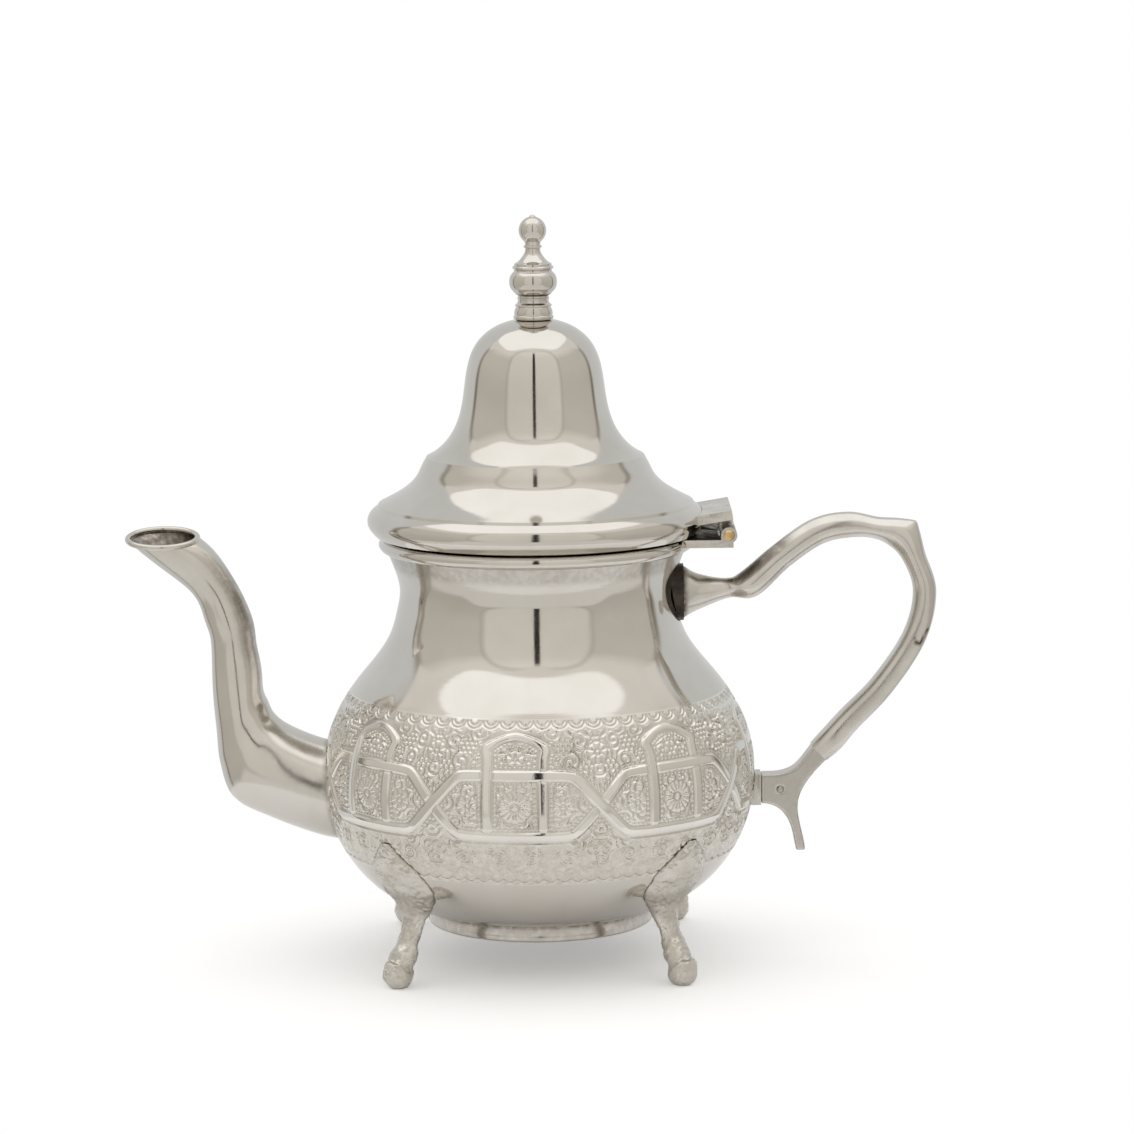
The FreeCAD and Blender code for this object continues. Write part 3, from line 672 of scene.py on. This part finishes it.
rim_outline = np.vstack([
    arc_points(36.5, 107.9, 0.3, 180, 270, 5),
    arc_points(39.3, 108.9, 1.3, -90, -30, 8),
    arc_points(38.9, 109.3, 2.0, -12, 12, 7),
    arc_points(39.3, 109.7, 1.3, 30, 90, 8),
    arc_points(36.7, 110.5, 0.5, 90, 180, 6),
])
rim = turned("rolled_rim", rim_outline, 256)
finish_piece(rim, polished_silver, "mouth_rim")
ring_outline = np.vstack([
    arc_points(28.3, 10.0, 0.4, 180, 270, 5),
    arc_points(29.0, 10.1, 0.5, -90, 0, 6),
    [[29.35, 11.0], [29.3, 12.6], [29.45, 13.4], [29.5, base_level], [27.9, base_level]],
])
ring = turned("foot_ring", ring_outline)
# Painted shade: the ring is darkened all over, and more at its top under the body.
mark(ring, "grime", 0.3 + 0.5 * soft_step(12.6, 13.7, places(ring)[:, 2]))
finish_piece(ring, polished_silver, "base_ring")

# %% [markdown]
# The spout is bent up from tube: a wide oval root on the belly, an elbow, a slim upright throat and an
# oblique mouth with a rolled lip. It is drawn as one skin that runs up the outside, over the lip and
# down the bore, and both ends stop inside the belly's wall.

# %% Rings along a path
def between(a, b, c, d, t):
    first, last, step = (c - a) / 2, (d - b) / 2, c - b
    return b + t * (first + t * (3 * step - 2 * first - last + t * (first + last - 2 * step)))


def key_rows(keys, steps):
    """Rows of numbers that pass smoothly through the given ones."""
    keys = np.array(keys, float)
    final = len(keys) - 1
    rows = []
    for i in range(final):
        near = keys[max(i - 1, 0)], keys[i], keys[i + 1], keys[min(i + 2, final)]
        rows += [between(*near, j / steps) for j in range(steps)]
    return np.array(rows + [keys[final]])


def ring_rows(rows, shape, inset=0.0):
    """Rings square to a path; a row is x, z, slant, two half sizes and a side tilt."""
    x, z, slant, wide, deep, tilt = (column[:, None] for column in rows.T)
    turn, lean = np.radians(slant), np.radians(tilt)
    a = (wide - inset) * shape[0]
    b = (deep - inset) * shape[1]
    return np.stack([x - np.sin(turn) * a, b * np.cos(lean), z + np.cos(turn) * a + b * np.sin(lean)], axis=2)


def round_section(count):
    turn = np.linspace(0, 2 * math.pi, count + 1)
    return np.cos(turn), np.sin(turn)


def from_wall(rings, sink, count):
    """Starts each line of rings a little under the belly's surface."""
    out = np.empty((count, rings.shape[1], 3))
    for j in range(rings.shape[1]):
        line = rings[:, j]
        free = np.hypot(line[:, 0], line[:, 1]) > body_radius(line[:, 2]) - sink
        spots = np.linspace(int(np.argmax(free)), len(line) - 1, count)
        for axis in range(3):
            out[:, j, axis] = np.interp(spots, np.arange(len(line)), line[:, axis])
    return out


print("rings follow a path through key rows")

# %% Spout
root_level = 45.0
root_distance = float(body_radius(root_level))
mouth_x, mouth_z, mouth_tilt, lip_radius, spout_wall = -97.05, 111.2, 10.5, 0.75, 1.1
spout_keys = [
    (-root_distance + 10.5, root_level - 1.6, 179, 12.7, 12.4, 0),
    (-root_distance, root_level, 179, 12.7, 12.4, 0),
    (-67.6, 49.4, 168, 12.3, 11.8, 0),
    (-74.5, 53.7, 153, 12.2, 10.2, 0),
    (-77, 60, 141, 10.2, 8.7, 0),
    (-78.1, 67.2, 127, 7.8, 7.8, 0),
    (-79, 81.5, 92, 6, 6, 0),
    (-80.4, 89.8, 101.5, 6, 6, 0),
    (-85.5, 100.5, 120, 5.7, 5.7, 0),
    (mouth_x, mouth_z, 90, 9, 7.8, mouth_tilt),
]
spout_rows = key_rows(spout_keys, 24)
spout_section = round_section(96)
spout_outside = from_wall(ring_rows(spout_rows, spout_section), 0.6, 150)
spout_bore = from_wall(ring_rows(spout_rows, spout_section, spout_wall), 1.0, 80)
lip_lean = math.radians(mouth_tilt)
lip_up = np.array([0, -math.sin(lip_lean), math.cos(lip_lean)])
lip = []
for turn in np.radians(np.linspace(-50, 230, 15)):
    lip_ring = ring_rows(spout_rows[-1:], spout_section, -lip_radius * math.cos(turn))[0]
    lip.append(lip_ring + lip_up * lip_radius * math.sin(turn))
spout_skin = np.vstack([spout_outside[:-1], np.array(lip), spout_bore[::-1][1:], spout_outside[:1]])
proud = np.hypot(spout_skin[..., 0], spout_skin[..., 1]) - body_radius(spout_skin[..., 2])
root_line = 0.35 * (1 - soft_step(0.1, 1.0, proud))
# The line at the root is a dark joint. The darkening on the throat's side towards the pot and inside the bore
# is painted shade.
throat = soft_step(72, 84, spout_skin[..., 2]) * (1 - soft_step(100, 108, spout_skin[..., 2]))
inner_side_shade = 0.36 * throat * soft_step(0.1, 0.65, -spout_section[0])[None, :]
bore_shade = np.zeros(spout_skin.shape[:2])
bore_shade[len(spout_outside) + len(lip) - 3:-1] = 0.75
spout = drawn("spout", spout_skin, grime=np.max([root_line, inner_side_shade, bore_shade], axis=0))
finish_piece(spout, drawn_silver, "spout_tube")

# %% [markdown]
# The handle is a casting that was filed to flats, so its section is an eight-sided oval with soft edges.
# It runs from a round trumpet end at the neck over the arch and the thumb rest, with its small horn, down
# a straight limb to the lower bracket. Dirt stays at its seat and in a crack, and shade is painted on the
# arch's foot, on the faces that look up and left.

# %% Handle arm
def filed_section(count, power=9, cut=1.36):
    """An eight-sided section with soft edges, flat at its four sides."""
    c, s = round_section(count)
    far = np.abs(c) ** power + np.abs(s) ** power + ((np.abs(c) + np.abs(s)) / cut) ** power
    size = far ** (-1 / power)
    return c * size, s * size


boss_level = 95.7
boss_face = float(body_radius(boss_level)) + 2.1
lug_face = max(float(body_radius(39.8)), float(body_radius(47.4))) + 1.6
bracket_bend = lug_face + 8.5
arm_keys = [
    (boss_face, boss_level, 0, 7, 7, 0),
    (boss_face + 4.2, boss_level, 0, 4.7, 4.7, 0),
    (boss_face + 12, 96.6, 8, 2.6, 2.6, 0),
    (boss_face + 17.4, 97.5, 36, 3.8, 3.8, 0),
    (63.5, 104.7, 45, 3.55, 3.8, 0),
    (72.7, 111, 27, 3.55, 3.8, 0),
    (81, 112.8, 0, 3.4, 3.8, 0),
    (88.5, 111.9, -10, 2.9, 3.8, 0),
    (95, 109.9, -44, 4.2, 3.8, 0),
    (98.3, 103.9, -72, 3.05, 3.8, 0),
    (100.9, 95, -91, 3.05, 3.8, 0),
    (98.2, 83.3, -107, 3.05, 3.8, 0),
    (90, 70.7, -128, 3.05, 3.8, 0),
    (81, 61.3, -136, 3.15, 3.8, 0),
    (bracket_bend + 10.2, 56.4, -136, 3.3, 3.8, 0),
    (bracket_bend + 6.7, 53, -136, 3, 3.4, 0),
]
arm_rows = key_rows(arm_keys, 14)
arm_x, arm_z = arm_rows[:, 0], arm_rows[:, 1]
flat_share = soft_step(5, 16, np.hypot(arm_x - boss_face, arm_z - boss_level))[:, None, None]
limb_share = (soft_step(96, 108, arm_x) + soft_step(96, 80, arm_z))[:, None, None].clip(0, 1)
arch_skin = ring_rows(arm_rows, filed_section(64))
limb_skin = ring_rows(arm_rows, filed_section(64, 12, 1.62))
filed_skin = (1 - limb_share) * arch_skin + limb_share * limb_skin
arm_skin = flat_share * filed_skin + (1 - flat_share) * ring_rows(arm_rows, round_section(64))
to_horn = np.array([99.6, 0, 114.6]) - arm_skin
pull = np.exp(-(np.linalg.norm(to_horn, axis=2) / 3.2) ** 2)[..., None]
arm = drawn("handle_arm_cast", arm_skin + 0.75 * pull * to_horn * [1, 0.6, 1], 32)
spots = places(arm)
seat = 1 - soft_step(0.2, 2.0, spots[:, 0] - boss_face)
# Painted shade: the arch's foot darkens on the faces that look up and left.
upper_left = soft_step(0.35, 0.75, facing(arm) @ [-0.65, 0, 0.75])
arch_foot_shade = 0.6 * upper_left * soft_step(50.5, 54, spots[:, 0]) * (1 - soft_step(63, 67, spots[:, 0]))
crack_path = [(97.8, 83.2), (99.2, 81.4), (100.4, 83.7), (101.6, 85.8)]
crack = line_at(near_path(spots[:, 0], spots[:, 2], crack_path)[0], 0.2, 0.35) * (spots[:, 1] < 0)
mark(arm, "grime", np.max([seat, arch_foot_shade, crack], axis=0))
finish_piece(arm, handle_silver, "handle_arm")

# %% [markdown]
# The lower bracket, its lug, the boss on the neck and the hinge leaves are small castings, and their solids
# already have the right form. The bracket's copy is remeshed and smoothed until its edges run together. The
# others have flat faces joined and edges bevelled, and one leaf gets a bead of solder.

# %% Small castings
def modified(obj, kind, **settings):
    change = obj.modifiers.new(kind.lower(), kind)
    for name, value in settings.items():
        setattr(change, name, value)
    bpy.ops.object.modifier_apply(modifier=change.name)


def melted(node, name, voxel, passes):
    """A copy of a solid whose edges run together, as cast metal's do."""
    obj = cleaned(node, name)
    modified(obj, "REMESH", mode="VOXEL", voxel_size=voxel * MM)
    modified(obj, "SMOOTH", factor=0.5, iterations=passes)
    bpy.ops.object.shade_smooth()
    print("melted", name, len(obj.data.polygons), "faces")
    return obj


def bevelled(node, name, width, smooth_angle=35):
    obj = cleaned(node, name)
    bpy.ops.object.mode_set(mode="EDIT")
    bpy.ops.mesh.select_all(action="SELECT")
    bpy.ops.mesh.dissolve_limited(angle_limit=math.radians(2))
    bpy.ops.object.mode_set(mode="OBJECT")
    limit = math.radians(40)
    modified(obj, "BEVEL", width=width * MM, segments=3, limit_method="ANGLE", angle_limit=limit)
    bpy.ops.object.shade_smooth_by_angle(angle=math.radians(smooth_angle))
    print("bevelled", name, len(obj.data.polygons), "faces")
    return obj


bracket = melted("handle_lower_bracket", "bracket_cast", 0.3, 9)
# Painted shade: the bracket darkens on the faces that look outwards and down.
mark(bracket, "grime", 0.1 + 0.5 * np.clip(facing(bracket) @ [1, 0, -0.4], 0, 1))
finish_piece(bracket, handle_silver, "handle_lower_bracket", slot="cast_plate")
lug = bevelled("handle_lower_lug", "lug_cast", 0.3)
mark(lug, "grime", np.full(len(lug.data.vertices), 0.12))
finish_piece(lug, handle_silver, "handle_lower_lug", slot="cast_plate")
# Painted shade: the boss gets a near-black finish that stands in for the shade and dark reflection at the
# handle's seat.
boss = bevelled("handle_upper_boss", "boss_dark", 0.4)
finish_piece(boss, painted_shade_plate, "handle_upper_boss", slot="cast_plate")
rim_leaf = bevelled("hinge_leaf_body", "leaf_on_rim", 0.25)
spots = places(rim_leaf)
solder = (spots[:, 1] > 12.9) & (np.abs(spots[:, 2] - 110.9) < 0.4) & (spots[:, 0] < 47.8)
spots[solder, 2] += 1.6
set_places(rim_leaf, spots)
# Painted shade: the body leaf darkens on its upward faces, in the gap under the lid leaf.
mark(rim_leaf, "grime", 0.85 * soft_step(0.3, 0.8, facing(rim_leaf)[:, 2]))
finish_piece(rim_leaf, cast_silver, "hinge_leaf_body")
lid_leaf = bevelled("hinge_leaf_lid", "leaf_on_lid", 0.25)
# Painted shade: the lid leaf darkens on its downward faces, over the gap.
mark(lid_leaf, "grime", 0.85 * soft_step(0.3, 0.8, -facing(lid_leaf)[:, 2]))
finish_piece(lid_leaf, cast_silver, "hinge_leaf_lid", body="lid")

# %% [markdown]
# The feet are rough castings: shield-shaped pads soldered to the belly, a thin ankle and a round toe. A
# copy of each solid is remeshed so that its edges melt together, and gets lumps and pits from noise. The
# leg is widened above the toe, into which it runs without a step.

# %% Feet
lumps = bpy.data.textures.new("casting_lumps", "CLOUDS")
lumps.noise_scale = 3.2 * MM
pits = bpy.data.textures.new("casting_pits", "CLOUDS")
pits.noise_scale = 0.9 * MM
toe_distance, toe_height, leg_slope = 51.2, 3.4, 0.43


def swell_leg(spots):
    """Widens a leg about its own middle line, just above the toe."""
    level = spots[:, 2:]
    diagonal = math.sqrt(0.5) * np.sign(spots[:, :2].mean(axis=0))
    middle = (toe_distance - leg_slope * (level - toe_height)) * diagonal
    swell = 1 + 0.3 * soft_step(4.5, 7, level) * (1 - soft_step(7.5, 14, level))
    spots[:, :2] = middle + swell * (spots[:, :2] - middle)


for node in ("foot_front_left", "foot_front_right", "foot_rear_left", "foot_rear_right"):
    foot = melted(node, node + "_cast", 0.32, 2)
    for texture, height in ((lumps, 0.9), (pits, 0.4)):
        strength = height * MM
        modified(foot, "DISPLACE", texture=texture, texture_coords="LOCAL", mid_level=0.5, strength=strength)
    bpy.ops.object.shade_smooth()
    spots = places(foot)
    spots[:, 2] = np.maximum(spots[:, 2], 0)
    swell_leg(spots)
    set_places(foot, spots)
    proud = np.hypot(spots[:, 0], spots[:, 1]) - body_radius(np.maximum(spots[:, 2], base_level))
    near_belly = 0.75 * (1 - soft_step(0.05, 0.4, proud)) * (spots[:, 2] > 16)
    ankle = 0.3 * (1 - soft_step(2, 5, np.abs(spots[:, 2] - 21)))
    mark(foot, "grime", np.maximum(near_belly, ankle))
    finish_piece(foot, cast_silver, node, slot="cast_plate")

# %% [markdown]
# The lid is one spun bell with a crown, a waist, a stepped shoulder and a flared skirt that ends in a
# rolled band. Three smooth runs with a crease between them give it, and the wall's thickness follows
# inside. A collar under it keeps it in the mouth.

# %% Lid bell and collar
lid_bottom = 111.7
lid_wall = 1.0
crown_spots = [(5.8, 55.2), (11.1, 53.0), (15.0, 49.2), (18.6, 35.0), (21.4, 26.5), (28.2, 20.2)]
skirt_spots = [(28.2, 20.2), (29.6, 17.6), (30.7, 15.4), (33.6, 12.3), (40.8, 8.1)]
band_spots = [(41.15, 7.35), (43.1, 5.7), (43.7, 3.2), (41.6, 0)]
crown = smooth_line(crown_spots, (1, -0.25), (1, -0.45), 90)
skirt = smooth_line(skirt_spots, (0.55, -1), (1, -0.5), 60)
lid_band = smooth_line(band_spots, (1, -0.6), (-1, -1), 36)
crown_in, skirt_in = set_in(crown, -lid_wall)[4:-4], set_in(skirt, -lid_wall)[4:]
bell_outside = np.vstack([[[0, 55.3], [3, 55.3]], crown, skirt[1:], lid_band])
bell_inside = np.vstack([[[0, 54.2], [3, 54.2]], crown_in, skirt_in, [[42.6, 3.2], [40.6, 0.0]]])
bell = turned("lid_bell", np.vstack([bell_outside, bell_inside[::-1]]) + [0, lid_bottom], 256, 30)
finish_piece(bell, spun_silver, "lid_shell", body="lid")
collar_outline = np.vstack([
    arc_points(34.5, 106.2, 0.5, 180, 360, 9),
    [[35.0, 111.0], [35.2, 111.6], [35.6, lid_bottom], [40.5, lid_bottom]],
    [[41.0, lid_bottom + 1], [34.0, lid_bottom + 1]],
])
collar = turned("lid_collar_spun", collar_outline)
finish_piece(collar, polished_silver, "lid_collar", body="lid")

# %% [markdown]
# The knob is turned in two pieces: a pedestal with steps on its foot and fine ridges on its waist, and a
# bulb with two grooves, a slim neck with a bead, and a ball with a small nub. A dark seam shows between
# the two.

# %% Knob
knob_seam = 173.5
pedestal_outline = np.vstack([
    [[0, 166.9], [4.2, 166.9]],
    arc_points(4.55, 167.75, 0.65, -70, 60, 9),
    [[5.0, 168.7], [4.85, 169.6], [4.5, 170.3]],
    arc_points(4.45, 170.8, 0.3, -70, 80, 6),
    [[4.1, 171.5], [3.95, 172.2]],
    arc_points(3.9, 172.6, 0.25, -70, 70, 6),
    [[3.95, 173.2], [3.85, 173.45], [0, knob_seam]],
])
pedestal = turned("knob_pedestal_turned", pedestal_outline, 96, 30)
mark(pedestal, "grime", soft_step(173.1, 173.4, places(pedestal)[:, 2]))
finish_piece(pedestal, polished_silver, "knob_pedestal", body="lid")
bulb_spots = [(4.5, 173.7), (5.85, 175.3), (6.15, 177.0), (5.75, 178.6), (4.95, 179.5)]
cone_spots = [(4.5, 181.7), (3.0, 183.0), (1.95, 185.0)]
knob_outline = np.vstack([
    [[0, knob_seam], [4.2, knob_seam]],
    smooth_line(bulb_spots, (0.9, 1), (-1, 0.8), 30),
    [[4.85, 179.7], [4.85, 180.1], [5.2, 180.25], [5.3, 180.7], [5.1, 180.9], [4.85, 181.0], [4.8, 181.5]],
    smooth_line(cone_spots, (-1, 0.35), (-0.1, 1), 14),
    [[1.95, 185.4]],
    arc_points(2.0, 185.9, 0.35, -80, 80, 8),
    [[1.95, 186.5]],
    arc_points(0, 190.05, 3.55, -54, 75, 40),
    arc_points(0, 193.1, 0.95, 22, 90, 8),
])
knob = turned("knob_turned", knob_outline, 96, 30)
levels = places(knob)[:, 2]
dark_seam = 1 - soft_step(173.6, 174.1, levels)
grooves = [1 - soft_step(0.05, 0.3, np.abs(levels - groove)) for groove in (179.95, 181.25)]
mark(knob, "grime", np.maximum(dark_seam, 0.6 * np.max(grooves, axis=0)))
finish_piece(knob, polished_silver, "knob", body="lid")

# %% [markdown]
# What is left is bare brass or hidden: the hinge pin, the rivet, the stud with washer and nut inside the
# lid, and the strainer behind the spout. Their solids have the right shape, so a merged copy with smooth
# shading is enough. Only the rivet's ends are drawn out a little.

# %% Brass and hidden pieces
for node, body, slot, finish in (
    ("hinge_pin", "pot", "bare_brass", bare_brass),
    ("handle_rivet", "pot", "cast_plate", cast_silver),
    ("knob_stud", "lid", "bare_brass", bare_brass),
    ("knob_washer", "lid", "bare_brass", bare_brass),
    ("knob_nut", "lid", "bare_brass", bare_brass),
    ("spout_strainer", "pot", "polished_plate", cast_silver),
):
    piece = cleaned(node, node + "_bare")
    if node == "handle_rivet":
        spots = places(piece)
        spots[:, 1] += 0.2 * np.sign(spots[:, 1])
        set_places(piece, spots)
        mark(piece, "grime", np.full(len(spots), 0.35))
    finish_piece(piece, finish, node, body=body, slot=slot)
    print("cleaned", piece.name, len(piece.data.polygons), "faces")

# %% [markdown]
# The pot was photographed on white, between pale walls with a white sheet overhead. Polished metal is all
# reflection, so the world is painted by direction. Lamps and real walls could do it too, but soft steps of
# azimuth and elevation are quick to change and have no noise.

# %% Tools for painting the sky
world = bpy.data.worlds.new("studio")
bpy.context.scene.world = world
world.use_nodes = True
sky = world.node_tree
sky.nodes.clear()


def sky_math(operation, *values):
    """One sum; each value is a number or a socket."""
    numbers = {i: value for i, value in enumerate(values) if isinstance(value, (int, float))}
    sockets = {i: value for i, value in enumerate(values) if i not in numbers}
    return add_node(sky, "Math", numbers, sockets, operation).outputs[0]


def sky_step(value, low, high):
    node = add_node(sky, "MapRange", {"From Min": low, "From Max": high}, {"Value": value})
    node.interpolation_type = "SMOOTHSTEP"
    return node.outputs["Result"]


def sky_ramp(value, stops):
    """Colours by elevation, given as degrees and colour."""
    node = add_node(sky, "ValToRGB", links={"Fac": value_range(sky, value, -90, 90)})
    for i, (degrees, colour) in enumerate(stops):
        stop = node.color_ramp.elements[i] if i < 2 else node.color_ramp.elements.new(1)
        stop.position = (degrees + 90) / 180
        stop.color = (*colour, 1)
    return node.outputs["Color"]


def rounded_frame(across, middle, half, up, up_middle, up_half):
    """Below 1 inside a rectangle with round corners, above 1 outside it."""
    shares = []
    for value, centre, size in ((across, middle, half), (up, up_middle, up_half)):
        share = sky_math("DIVIDE", sky_math("SUBTRACT", value, centre), size)
        shares.append(sky_math("POWER", sky_math("ABSOLUTE", share), 4.0))
    return sky_math("ADD", *shares)


print("sky starts with", len(sky.nodes), "nodes")

# %% [markdown]
# In front stand grey-beige walls with a lighter opening between darker jambs, a pale table below and a
# narrow dark gap where the camera stands. Dark edges close the sides, and behind is pale paper. A white
# sheet hangs overhead on a level plane, with a pale strip in front. The camera itself sees plain white.

# %% Walls, window and table
place = add_node(sky, "SeparateXYZ", links={0: add_node(sky, "TexCoord").outputs["Generated"]}).outputs
ahead = sky_math("MULTIPLY", place["Y"], -1.0)
azimuth = sky_math("ABSOLUTE", sky_math("DEGREES", sky_math("ARCTAN2", place["X"], ahead)))
elevation = sky_math("DEGREES", sky_math("ARCSINE", place["Z"]))
side_walls = sky_ramp(elevation, [
    (-25, (0.54, 0.52, 0.48)), (0, (0.58, 0.555, 0.51)), (16, (0.64, 0.615, 0.565)),
    (33, (0.66, 0.63, 0.585)), (43, (0.84, 0.81, 0.765)), (56, (0.90, 0.87, 0.83)),
])
opening = sky_ramp(elevation, [
    (-20, (0.72, 0.70, 0.66)), (10, (0.75, 0.73, 0.685)),
    (40, (0.80, 0.775, 0.73)), (56, (0.94, 0.915, 0.875)),
])
edges = sky_ramp(elevation, [
    (-30, (0.16, 0.13, 0.10)), (2, (0.22, 0.19, 0.15)), (14, (0.34, 0.31, 0.27)), (50, (0.50, 0.48, 0.44)),
])
jamb_brown, gap_black = (0.40, 0.37, 0.33), (0.02, 0.018, 0.016)
table_pale, paper_white = (0.75, 0.735, 0.70), (0.69, 0.70, 0.70)
window_frame = rounded_frame(azimuth, 0.0, 46.0, elevation, 20.0, 35.0)
window = sky_step(window_frame, 1.15, 0.85)
jamb = sky_math("MULTIPLY", sky_step(window_frame, 0.68, 0.92), sky_step(window_frame, 1.35, 1.1))
table_edge = sky_math("ADD", elevation, sky_math("MULTIPLY", sky_step(azimuth, 44, 72), 17.0))
table = sky_step(table_edge, -11, -16)
gap = sky_math("MULTIPLY", sky_step(azimuth, 2.8, 2.1), sky_step(elevation, 55, 53))
gap = sky_math("MULTIPLY", gap, sky_step(elevation, -13, -11))
look = side_walls
for share, colour in (
    (window, opening), (sky_math("MULTIPLY", jamb, 0.35), jamb_brown), (table, table_pale), (gap, gap_black),
    (sky_step(azimuth, 105, 111), edges), (sky_step(azimuth, 111, 118), paper_white),
):
    look = colour_mix(sky, share, look, colour)
print("walls and window use", len(sky.nodes), "sky nodes")

# %% Sheet overhead
front_pale, sheet_white = (0.84, 0.81, 0.77), (1.22, 1.215, 1.20)
aloft = sky_math("MAXIMUM", place["Z"], 0.05)
sheet_x = sky_math("DIVIDE", place["X"], aloft)
sheet_y = sky_math("DIVIDE", place["Y"], aloft)
front = sky_math("SUBTRACT", sheet_y, sky_math("MULTIPLY", sky_math("ABSOLUTE", sheet_x), 0.9))
pale = sky_math("MULTIPLY", sky_step(front, -0.92, -0.74), sky_step(sheet_y, 0.60, 0.50))
sheet = sky_step(rounded_frame(sheet_x, -0.06, 0.78, sheet_y, 0.07, 0.57), 1.15, 0.85)
look = colour_mix(sky, pale, look, front_pale)
look = colour_mix(sky, sheet, look, sheet_white)
lit = add_node(sky, "Background", links={"Color": look}).outputs[0]
plain = add_node(sky, "Background", {"Color": (1, 1, 1, 1)}).outputs[0]
seen = add_node(sky, "LightPath").outputs["Is Camera Ray"]
choice = add_node(sky, "MixShader", links={0: seen, 1: lit, 2: plain}).outputs[0]
add_node(sky, "OutputWorld", links={"Surface": choice})
print("studio", len(sky.nodes), "sky nodes")

# %% [markdown]
# The floor is a disc of white paper that keeps the pot's soft shadow. It glows a little to the camera, so
# that it fades into the white behind it, and less to the metal.

# %% Floor
camera_glow, metal_glow = 0.26, 0.08
bpy.ops.mesh.primitive_circle_add(vertices=128, radius=0.15, fill_type="NGON")
floor = bpy.context.object
floor.name = "floor"
paper_floor = bpy.data.materials.new("paper_floor")
paper_floor.use_nodes = True
tree = paper_floor.node_tree
shader = tree.nodes["Principled BSDF"]
paper_look = {"Base Color": (0.95, 0.955, 0.97, 1), "Roughness": 0.9, "Specular IOR Level": 0.1}
for socket, value in {**paper_look, "Emission Color": (1, 1, 1, 1)}.items():
    shader.inputs[socket].default_value = value
rays = add_node(tree, "LightPath").outputs
to_metal = add_node(tree, "Math", {1: metal_glow}, {0: rays["Is Glossy Ray"]}, "MULTIPLY").outputs[0]
glow_sockets = {0: rays["Is Camera Ray"], 2: to_metal}
glow = add_node(tree, "Math", {1: camera_glow}, glow_sockets, "MULTIPLY_ADD").outputs[0]
tree.links.new(glow, shader.inputs["Emission Strength"])
floor.data.materials.append(paper_floor)
print("floor", floor.name, "with", len(tree.nodes), "nodes")

# %% [markdown]
# The camera was fitted to the outline of the pot: about a metre away, looking a little down, with a long
# lens. The small roll is in the photograph too.

# %% Camera
pitch, roll = math.radians(8.411), math.radians(0.65)
level_right, level_up = np.array([1.0, 0, 0]), np.array([0, math.sin(pitch), math.cos(pitch)])
forward = np.array([0, math.cos(pitch), -math.sin(pitch)])
right = level_right * math.cos(roll) - level_up * math.sin(roll)
upward = level_up * math.cos(roll) + level_right * math.sin(roll)
lens = bpy.data.cameras.new("camera")
lens.lens = 130.2
lens.sensor_width = 36
lens.sensor_fit = "HORIZONTAL"
lens.clip_start = 0.05
camera = bpy.data.objects.new("camera", lens)
bpy.context.scene.collection.objects.link(camera)
stand = np.array([7.9, -1055.0, 258.5]) * MM
camera_rows = [[right[i], upward[i], -forward[i], stand[i]] for i in range(3)]
camera.matrix_world = Matrix(camera_rows + [[0, 0, 0, 1]])
bpy.context.scene.camera = camera
bpy.context.scene.view_settings.view_transform = "Standard"
print("camera at", [round(float(v), 3) for v in stand])
